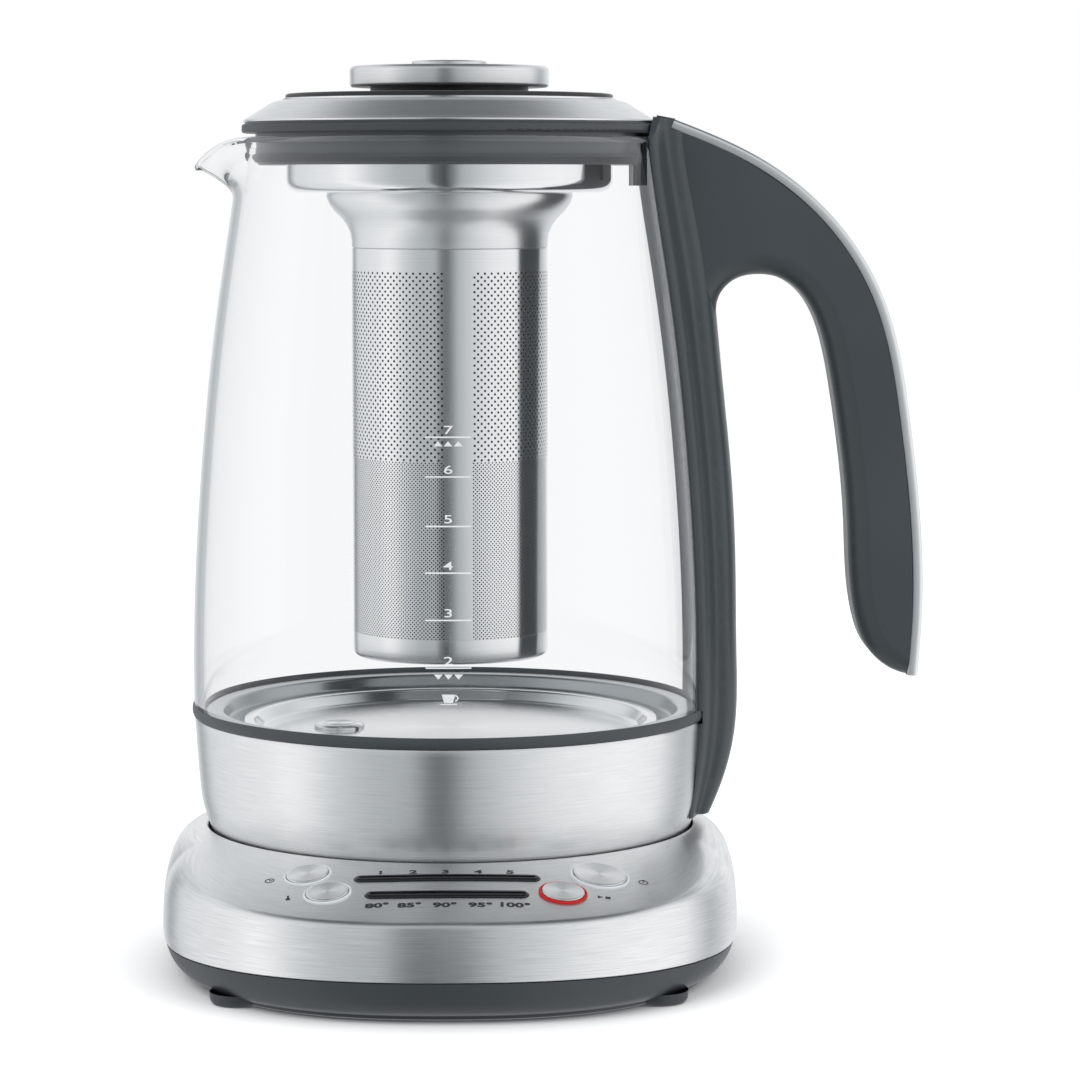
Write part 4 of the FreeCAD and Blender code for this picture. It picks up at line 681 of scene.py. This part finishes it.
def button_pieces():
    """Buttons with a dished face of turned steel, each in its ring."""
    for name, (at, radius) in BUTTONS.items():
        dish = BUTTON_DISH_Z
        face = [(radius - 0.05, -2.0), (radius - 0.05, dish - 0.1), (radius - 0.2, dish + 0.12),
                (radius - 0.5, dish + 0.2), (radius - 0.8, dish + 0.17), (radius * 0.75, dish + 0.09),
                (radius * 0.5, dish + 0.04), (radius * 0.25, dish + 0.01), (0, dish)]
        lathe(name + "_cap", face, name, SPUN, (name + "_button",), 96, place=deck_place(at))
        inner = radius + RING_GAP
        outer = inner + RING_WIDTH
        rise = BUTTON_RING_Z
        band = soft([(inner, -1.5), (inner, rise, 0.25), (outer, rise, 0.25), (outer, -1.5)])
        red = name == "start_stop"
        ring = lathe(name + "_ring", band, "power_base", RED if red else PALE, (), 96, place=deck_place(at))
        if red:
            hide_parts("start_stop_ring")
        elif name == "brew_time":
            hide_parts("button_rings")


def bar_outline(bar, gap, steps=14, along=24):
    """The points of a bar's rounded outline, grown by gap: one half above, the other below."""
    length, width, y = bar
    half = length / 2 - width / 2
    radius = width / 2 + gap
    points = []
    for side in (1, -1):
        for angle in between(-math.pi / 2, math.pi / 2, steps):
            points.append((side * (half + radius * math.cos(angle)), y + side * radius * math.sin(angle)))
        for x in between(side * half, -side * half, along)[1:-1]:
            points.append((x, y + side * radius))
    return points


def display_bar(name, bar, node):
    """A glossy dark bar with a bevelled edge, standing a little out of the deck."""
    rows = []
    for gap, rise in ((0.28, -1.5), (0.28, 0.06), (0.12, 0.12), (-0.05, 0.10), (-0.12, 0.45), (-0.35, 0.62),
                      (-0.75, 0.70), (-1.3, 0.72)):
        row = [(x + BAR_X, y + BAR_BOW * x * x) for x, y in bar_outline(bar, gap)]
        rows.append([(x, y, deck_z(math.hypot(x, y)) + rise) for x, y in row])
    count = len(rows[0])
    points = [p for row in rows for p in row]
    faces = grid_faces(len(rows), count)
    start = (len(rows) - 1) * count
    half = count // 2
    for i in range(half - 1):
        faces.append((start + i, start + i + 1, start + (count - 2 - i + half) % count,
                      start + (count - 1 - i + half) % count))
    mesh_piece(name, points, faces, "power_base", DISPLAY, (node,), sharp=50)


def printed(name, text, size, place, body, finish, wide=1.0, thick=0.03, bold=0.02):
    """Raised print: a line of numbers or letters, each point set by place(u, v, w)."""
    curve = bpy.data.curves.new(name, "FONT")
    curve.body = text
    curve.size = size
    curve.align_x = "CENTER"
    curve.align_y = "CENTER"
    curve.extrude = thick
    curve.offset = size * bold
    curve.resolution_u = 4
    source = bpy.data.objects.new(name + "_source", curve)
    bpy.context.collection.objects.link(source)
    bpy.context.view_layer.update()
    shape = bpy.data.meshes.new_from_object(source)
    bpy.data.objects.remove(source)
    points = [place(v.co.x * wide, v.co.y, v.co.z + thick) for v in shape.vertices]
    faces = [tuple(p.vertices) for p in shape.polygons]
    bpy.data.meshes.remove(shape)
    return mesh_piece(name, points, faces, body, finish)


def icon(name, outlines, place, body, finish, thick=0.05):
    """Raised print from closed outlines, each a list of (u, v)."""
    points, faces = [], []
    for outline in outlines:
        start = len(points)
        count = len(outline)
        points += [place(u, v, 0.0) for u, v in outline] + [place(u, v, thick) for u, v in outline]
        faces.append(tuple(range(start + count, start + 2 * count)))
        for k in range(count):
            a, b = start + k, start + (k + 1) % count
            faces.append((a, b, b + count, a + count))
    return mesh_piece(name, points, faces, body, finish)


def arc_band(inner, outer, steps=24, centre=(0, 0), start=0.0, sweep=2 * math.pi):
    """A round band as quads."""
    quads = []
    for i in range(steps):
        a = start + sweep * i / steps
        b = start + sweep * (i + 1) / steps
        corners = ((inner, a), (outer, a), (outer, b), (inner, b))
        quads.append([(centre[0] + r * math.cos(t), centre[1] + r * math.sin(t)) for r, t in corners])
    return quads


def bar_shape(x0, y0, x1, y1):
    return [(x0, y0), (x1, y0), (x1, y1), (x0, y1)]


def panel_print():
    """The scale numbers, and plain marks where the panel's words would be."""
    for i, x in enumerate((-20.3, -10.6, -1.0, 8.7, 18.2)):
        place = deck_place((x, -83.7 + BAR_BOW * x * x))
        printed("minutes_%d" % (i + 1), str(i + 1), 3.1, place, "power_base", PRINT, wide=1.6, bold=0.03)
    for i, x in enumerate((-20.8, -11.3, -1.0, 9.4, 19.2)):
        place = deck_place((x, -105.6 + BAR_BOW * x * x))
        text = str(80 + 5 * i) + "°"
        printed("degrees_%d" % (80 + 5 * i), text, 3.9, place, "power_base", PRINT, wide=1.3, bold=0.04)
    clock = arc_band(1.15, 1.5) + [bar_shape(-0.13, -0.1, 0.13, 1.0), bar_shape(0, -0.13, 0.8, 0.13)]
    icon("mark_time", clock, deck_place((-53.5, -80.0)), "power_base", PRINT)
    heat = arc_band(0.0, 0.75, 16, (0, -0.9)) + [bar_shape(-0.3, -0.9, 0.3, 1.6)]
    icon("mark_temperature", heat, deck_place((-47.3, -94.3)), "power_base", PRINT)
    timer = arc_band(1.15, 1.5) + [bar_shape(-0.13, -0.1, 0.13, 1.0), bar_shape(-0.4, 1.6, 0.4, 1.95)]
    icon("mark_timer", timer, deck_place((58.0, -80.5)), "power_base", PRINT)
    go = [[(-1.9, -0.9), (-0.3, 0), (-1.9, 0.9)], bar_shape(0.4, -0.75, 1.9, 0.75)]
    icon("mark_start", go, deck_place((45.8, -95.0)), "power_base", PRINT)


# ---- jug ----
GLASS_POINTS = [(77.2, 81.4), (97.2, 81.4), (141.0, 79.5), (208.5, 72.5), (238.0, 68.0), (257.5, 65.4)]
GLASS_RIM_Z = 257.5
GLASS_WALL = 3.0
SPOUT_REACH = 14.4
SPOUT_CURL = 1.7           # the higher, the later the wall turns outwards on its way up
SPOUT_DROP = 7.6
SPOUT_DIP = 2.2            # the higher, the narrower the dip of the rim
SPOUT_THIN = 0.25          # share of the wall's thickness that is lost at the tip
SPOUT_ROOT_Z = 238.0
SPOUT_WIDTH = 0.36         # half the spout's angle
SPOUT_ROUND = 0.02         # rounding of the spout's middle
SPOUT_FLARE = 1.3
SPOUT_LEAN = 0.95          # how far the rim's bead turns outwards at the tip, in radians
RIM_BEAD = 1.75            # radius of the round bead along the glass's rim
TIP_BEAD = 1.2             # radius of the bead at the tip
BY_SPINE = 0.31            # half the angle of the part of the wall that the spine covers
glass_radius = spline(GLASS_POINTS)


def beak(turn, inset):
    """How far along the spout a direction is: 1 at its middle, 0 beside it."""
    t = abs(turn) / (SPOUT_WIDTH - inset * 0.015)
    if t > 1:
        return 0.0
    start = math.sqrt(SPOUT_ROUND)
    u = (math.sqrt(t * t + SPOUT_ROUND) - start) / (math.sqrt(1 + SPOUT_ROUND) - start)
    return (1 - u) ** SPOUT_FLARE


def glass_point(angle, z, inset, bead=None):
    """A point of the glass wall, with the spout pulled out of it on the left.

    inset is the depth from the outer face; bead is an angle round the bead that ends the rim.
    """
    turn = angle % (2 * math.pi) - math.pi
    pull = beak(turn, inset)
    rise = max(0.0, min(1.0, (z - SPOUT_ROOT_Z) / (GLASS_RIM_Z - RIM_BEAD - SPOUT_ROOT_Z)))
    lift = 0.0
    if bead is not None:
        radius = RIM_BEAD + (TIP_BEAD - RIM_BEAD) * pull
        inset -= radius * math.cos(bead - SPOUT_LEAN * pull)
        lift = radius * math.sin(bead - SPOUT_LEAN * pull)
    depth = inset * (1 - SPOUT_THIN * pull * rise)
    r = glass_radius(min(z, GLASS_RIM_Z)) - depth + SPOUT_REACH * pull * rise ** SPOUT_CURL
    drop = SPOUT_DROP * pull ** SPOUT_DIP * rise
    return (-r * math.cos(turn), -r * math.sin(turn), z - drop + lift)


def glass_piece():
    """The wall from the foot to the rim bead, outside and inside."""
    segments = 288
    heights = between(GLASS_POINTS[0][0], SPOUT_ROOT_Z - 1, 26) + between(SPOUT_ROOT_Z, GLASS_RIM_Z - RIM_BEAD, 22)
    rings = [(z, 0.0, None) for z in heights[:-2]]
    rim = len(rings)
    rings += [(GLASS_RIM_Z - RIM_BEAD, GLASS_WALL - RIM_BEAD, angle) for angle in between(-0.15, math.pi, 15)]
    outside = len(rings) - 1
    rings += [(z, GLASS_WALL, None) for z in reversed(heights[:-1])]
    points = []
    for z, inset, bead in rings:
        for k in range(segments):
            points.append(glass_point(2 * math.pi * k / segments, z, inset, bead))
    faces = grid_faces(len(rings), segments, closed=True)
    wall = mesh_piece("glass_wall", points, faces, "jug", GLASS, ("glass_jug",), sharp=60)
    finishes = [GLASS, GLASS_INSIDE, GLASS_BY_SPINE, GLASS_BEAD]
    for finish in finishes[1:]:
        wall.data.materials.append(finish)
    # the finishes differ in their painted edge shade: least by the spine and inside, most on the outer face and the
    # bead
    beside = BY_SPINE / (2 * math.pi) * segments
    for i, polygon in enumerate(wall.data.polygons):
        ring, column = divmod(i, segments)
        column = (column + 0.5 + segments / 2) % segments - segments / 2
        if abs(column) < beside:
            finish = GLASS_BY_SPINE
        elif ring >= outside:
            finish = GLASS_INSIDE
        else:
            finish = GLASS_BEAD if ring >= rim else GLASS
        polygon.material_index = finishes.index(finish)
    wall.visible_diffuse = False
    wall.visible_glossy = False
    wall.visible_shadow = False


def on_glass(x, z):
    """Moves print to the outside of the glass at the front, wrapped round it."""
    def place(u, v, w):
        height = z + v
        r = glass_radius(height) + w
        turn = (x + u) / glass_radius(height)
        return (r * math.sin(turn), -r * math.cos(turn), height)
    return place


MARK_HEIGHTS = {7: 168.5, 6: 156.8, 5: 142.2, 4: 128.4, 3: 114.4, 2: 100.2}
HIGHEST_Z = 166.4
LOWEST_Z = 97.7
CUP_Z = 91.1


def level_marks():
    """The level lines with their numbers, wedges at the highest and lowest level, and a small cup."""
    step = 0.85                    # short pieces, so that each line follows the round of the glass
    for number, z in MARK_HEIGHTS.items():
        outline = [bar_shape(-6.8 + i * step, -0.22, -6.8 + (i + 1) * step, 0.22) for i in range(16)]
        icon("level_line_%d" % number, outline, on_glass(0, z), "jug", WHITE_PRINT)
        printed("level_%d" % number, str(number), 3.5, on_glass(0, z + 2.0), "jug", WHITE_PRINT, wide=1.7, bold=0.005)
    wedge = [(-1.3, -0.6), (0.0, 0.9), (1.3, -0.6)]
    for name, z, way in (("highest", HIGHEST_Z, 1), ("lowest", LOWEST_Z, -1)):
        marks = [[(x + u, way * v) for u, v in wedge][::way] for x in (-3.0, 0.0, 3.0)]
        icon("level_" + name, marks, on_glass(0, z), "jug", WHITE_PRINT)
    cup = [[(-2.0, 1.2), (-1.3, -1.3), (1.3, -1.3), (2.0, 1.2)], bar_shape(-2.6, -1.9, 2.6, -1.55)]
    cup += arc_band(0.55, 0.95, 12, (2.0, 0.1), -math.pi / 2, math.pi)
    icon("level_cups", cup, on_glass(0, CUP_Z), "jug", WHITE_PRINT)


SKIRT_POINTS = [(35.7, 74.1), (45.3, 78.2), (56.0, 79.9), (74.8, 81.2)]
SENSOR_AT = (-35.5, 0.0)
skirt_radius = spline(SKIRT_POINTS)


def jug_foot():
    """The steel skirt, the dark ring over it, and the heater floor with its sensor."""
    skirt = [(69.5, 33.6), (69.5, 32.7), (71.0, 32.6), (72.9, 33.8)]
    skirt += [(skirt_radius(z), z) for z in between(35.7, 74.9, 24)] + [(81.0, 75.4), (80.2, 75.5)]
    lathe("skirt_shell", skirt, "jug", SKIRT_STEEL, ("steel_skirt",), 256)
    ring = soft([(79.5, 75.6), (81.5, 75.6, 0.5), (82.1, 77.3, 1.2), (81.8, 79.2, 0.5), (81.5, 79.2, 0.2),
                 (81.5, 77.6)])
    lathe("jug_band", ring, "jug", DARK, ("jug_ring",), 256)
    floor_line = soft([(0, 70.6), (59.9, 70.6, 0.8), (62.3, 74.4, 0.9), (65.5, 74.4, 0.9), (65.9, 74.1)], 5)
    lathe("heater_floor", floor_line, "jug", FLOOR_STEEL, ("heater_plate",), 224)
    # the gutter is much darker steel: painted shade in the ring round the heater floor
    gutter = soft([(65.8, 74.2), (67.1, 73.5, 0.9), (70.8, 73.5, 1.2), (72.2, 77.8, 0.9), (77.4, 78.0, 0.3),
                   (77.6, 77.6)], 5)
    lathe("heater_gutter", gutter, "jug", GUTTER_SHADE_STEEL, (), 224)
    button = soft([(8.0, 70.6), (8.0, 71.4, 0.4), (7.0, 72.1, 0.8), (5.2, 72.2, 0.3), (5.0, 71.8, 0.2),
                   (4.6, 71.8, 0.2), (4.4, 72.2, 0.3), (0, 72.2)])
    x, y = SENSOR_AT
    lathe("sensor_cap", button, "jug", SPUN, ("temperature_sensor",), 96, place=lambda u, v, w: (u + x, v + y, w))


# ---- lid ----
def lid_pieces():
    """The lid's steel cover, sloping out from the infuser's rim."""
    cover = soft([(51.9, 268.2), (51.9, 268.9, 0.2), (52.3, 269.1, 0.2), (55.4, 268.4, 1.2), (63.6, 263.3, 1.0),
                  (64.4, 262.9, 0.2), (64.6, 262.5, 0.2), (64.5, 262.1, 0.2), (63.4, 262.0)], 6)
    lathe("lid_top", cover, "lid", LID_STEEL, ("lid_cover",), 256)


# ---- infuser ----
FUNNEL_TOP_Z = 240.2
TUBE_RADIUS = 30.8
COARSE = (216.0, 157.4, 86, 0.41)      # top, bottom, holes round, hole radius
DENSE_UPPER = (157.4, 129.8, 155, 0.27)
DENSE_LOWER = (129.8, 102.2, 155, 0.27)
STRIP_FROM = -3.2                      # the plain strip, degrees from the front
STRIP_TO = 13.4
HOLE_WALL = 0.45
HOLE_CORNERS = (210, 270, 330, 30, 90, 150)


def perforated(name, zone, wall=False):
    """A band of the tube with real holes in a staggered pattern, each with a short wall if asked."""
    top, bottom, count, hole = zone
    pitch = 2 * math.pi * TUBE_RADIUS / count
    rows = max(1, round((top - bottom) / (pitch / 2)))
    height = (top - bottom) / rows
    points, faces = [], []

    def on_tube(u, z, inset=0.0):
        turn = u / TUBE_RADIUS
        r = TUBE_RADIUS - inset
        return (r * math.sin(turn), -r * math.cos(turn), z)

    width = 2 * count
    for j in range(rows + 1):
        for i in range(width):
            points.append(on_tube(i * pitch / 2, bottom + j * height))
    for j in range(rows):
        for i in range(count):
            first = 2 * i + (j % 2)
            low = [j * width + (first + k) % width for k in range(3)]
            high = [(j + 1) * width + (first + k) % width for k in range(3)]
            around = low + list(reversed(high))
            middle = (first + 1) * pitch / 2
            degrees = (math.degrees(middle / TUBE_RADIUS) + 180) % 360 - 180
            if STRIP_FROM < degrees < STRIP_TO:
                faces.append(tuple(around))
                continue
            z = bottom + (j + 0.5) * height
            start = len(points)
            for inset in (0.0, HOLE_WALL) if wall else (0.0,):
                for angle in HOLE_CORNERS:
                    a = math.radians(angle)
                    points.append(on_tube(middle + hole * math.cos(a), z + hole * math.sin(a), inset))
            for k in range(6):
                m = (k + 1) % 6
                faces.append((around[k], around[m], start + m, start + k))
                if wall:
                    faces.append((start + k, start + m, start + 6 + m, start + 6 + k))
    mesh_piece(name, points, faces, "infuser", TUBE_STEEL, (), sharp=40)


def infuser_pieces():
    """The cup with its funnel, the perforated tube and the plain band that ends it."""
    cup = [(52.3, 268.7), (52.3, 269.5), (51.9, 269.7), (50.7, 269.7), (50.7, 244.3)]
    cup += [(50.7 - 3.4 + 3.4 * math.cos(a), 244.3 + 3.4 * math.sin(a)) for a in between(0, -math.pi / 2, 7)[1:]]
    cup += [(39.5, 240.9), (38.2, 240.6), (37.9, 239.6)]
    cup += [(37.3, 236.9), (35.6, 234.2), (33.6, 232.0), (31.9, 229.7), (30.7, 227.0), (29.9, 222.5)]
    outside = [(30.2, 222.9), (30.8, 223.2), (30.8, 225.0), (31.2, 227.6), (32.3, 230.0), (34.1, 232.4),
               (36.2, 234.4), (37.9, 236.8), (38.7, 239.0), (38.5, 239.9), (38.9, 240.3)]
    outside += [(47.3, 240.3)]
    outside += [(51.3 - 4 + 4 * math.sin(a), 244.3 - 4 * math.cos(a)) for a in between(0.15, math.pi / 2, 7)]
    outside += [(51.3, 268.0), (52.0, 268.6)]
    piece = lathe("infuser_cup", cup + outside, "infuser", CUP_STEEL, ("infuser_rim",), 256, closed=True, sharp=40)
    piece.data.materials.append(FUNNEL_STEEL)
    cup_floor = at_frame(0, 0, FUNNEL_TOP_Z)[2]
    for polygon in piece.data.polygons:
        polygon.material_index = 1 if polygon.center.z < cup_floor else 0
    neck = [(30.8, 216.0), (30.8, 222.8), (30.1, 222.9)]
    lathe("infuser_neck", neck, "infuser", TUBE_STEEL, ("infuser_tube",), 256)
    # a dark sleeve just inside the tube, painted shade that darkens the holes
    hole_shade = [(30.2, 102.2), (30.2, 216.0)]
    lathe("infuser_hole_shade", hole_shade, "infuser", HOLE_DARK, (), 128)
    perforated("infuser_holes", COARSE, wall=True)
    perforated("infuser_mesh_upper", DENSE_UPPER)
    perforated("infuser_mesh_lower", DENSE_LOWER)
    band = soft([(30.2, 102.2), (30.85, 102.2, 0.1), (30.85, 96.0), (30.6, 95.2), (30.0, 94.7), (29.2, 94.4),
                 (0, 94.4)])
    lathe("infuser_end", band, "infuser", BAND_STEEL, ("infuser_bottom",), 192)


# ---- infuser lid ----
def knob_pieces():
    """The infuser's dark lid with its steel knob."""
    cover = soft([(49.8, 265.8), (49.8, 269.0, 0.1), (51.2, 269.15, 0.3), (51.4, 270.6, 0.4), (50.6, 271.0, 0.4),
                  (40, 271.0), (24.6, 271.0)])
    lathe("infuser_cover", cover, "infuser_lid", BLACK, ("infuser_lid_disc",), 256)
    neck = soft([(25.6, 271.0), (24.8, 271.4, 0.5), (24.8, 273.6)])
    lathe("knob_stem", neck, "infuser_lid", BLACK, ("knob_neck",), 192)
    disc = soft([(24.0, 273.2), (30.6, 273.1, 0.3), (31.2, 273.7, 0.4), (31.3, 278.6, 0.7), (30.5, 279.6, 0.8),
                 (12.3, 279.9, 0.2), (12.1, 279.3)], 5)
    lathe("knob_top", disc, "infuser_lid", KNOB_STEEL, ("knob_disc",), 224)
    cap = soft([(11.8, 279.3), (11.8, 281.0, 0.3), (11.0, 281.35, 0.5), (6.0, 281.5), (0, 281.55)], 5)
    lathe("knob_button", cap, "infuser_lid", KNOB_STEEL, ("knob_cap",), 128)


# ---- handle ----
BACK_POINTS = [(70.2, 263.2), (96.2, 251.7), (120.2, 232.5), (135.5, 208.5), (144.5, 170.1), (149.0, 108.0),
               (147.7, 88.2)]
STRIP_DEPTH = 3.4
STRIP_HALF = 12.3


def back_line(count):
    """Points and outward directions along the handle's outer line."""
    step = 0.2                     # to each side of a point, for its direction
    reach = [0.0]
    for before, after in zip(BACK_POINTS, BACK_POINTS[1:]):
        reach.append(reach[-1] + math.hypot(after[0] - before[0], after[1] - before[1]))
    across = spline([(t, p[0]) for t, p in zip(reach, BACK_POINTS)])
    up = spline([(t, p[1]) for t, p in zip(reach, BACK_POINTS)])
    line = []
    for t in between(0.0, reach[-1], count):
        a, b = max(t - step, 0.0), min(t + step, reach[-1])
        along = Vector((across(b) - across(a), up(b) - up(a))).normalized()
        line.append((Vector((across(t), up(t))), Vector((-along.y, along.x))))
    return line


def strip_piece():
    """The bright strip down the handle's back: a shallow channel with rounded edges."""
    half, depth = STRIP_HALF, STRIP_DEPTH
    section = soft([(-half + 0.6, -depth), (-half, -depth + 0.2, 0.3), (-half, -0.1, 1.3), (-half + 3.0, 0.0, 1.0),
                    (0.0, 0.0), (half - 3.0, 0.0, 1.0), (half, -0.1, 1.3), (half, -depth + 0.2, 0.3),
                    (half - 0.6, -depth)], 5)
    line = back_line(90)
    sink = 0.05                    # keeps the strip just inside the handle's outline
    points = []
    for y, out in section:
        for place, outward in line:
            at = place + outward * (out - sink)
            points.append((at.x, y, at.y))
    count = len(line)
    faces = grid_faces(len(section), count, around=False)
    faces.append(tuple(i * count for i in range(len(section))))
    faces.append(tuple(reversed([i * count + count - 1 for i in range(len(section))])))
    mesh_piece("handle_band", points, faces, "jug", STRIP_STEEL, ("handle_strip",), grain=grain_of(section, count))


top_cover()
bottom_cover()
feet()
button_pieces()
display_bar("time_bar", TIME_BAR, "time_display_lens")
display_bar("temperature_bar", TEMPERATURE_BAR, "temperature_display_lens")
panel_print()
glass_piece()
level_marks()
jug_foot()
lid_pieces()
infuser_pieces()
knob_pieces()
strip_piece()
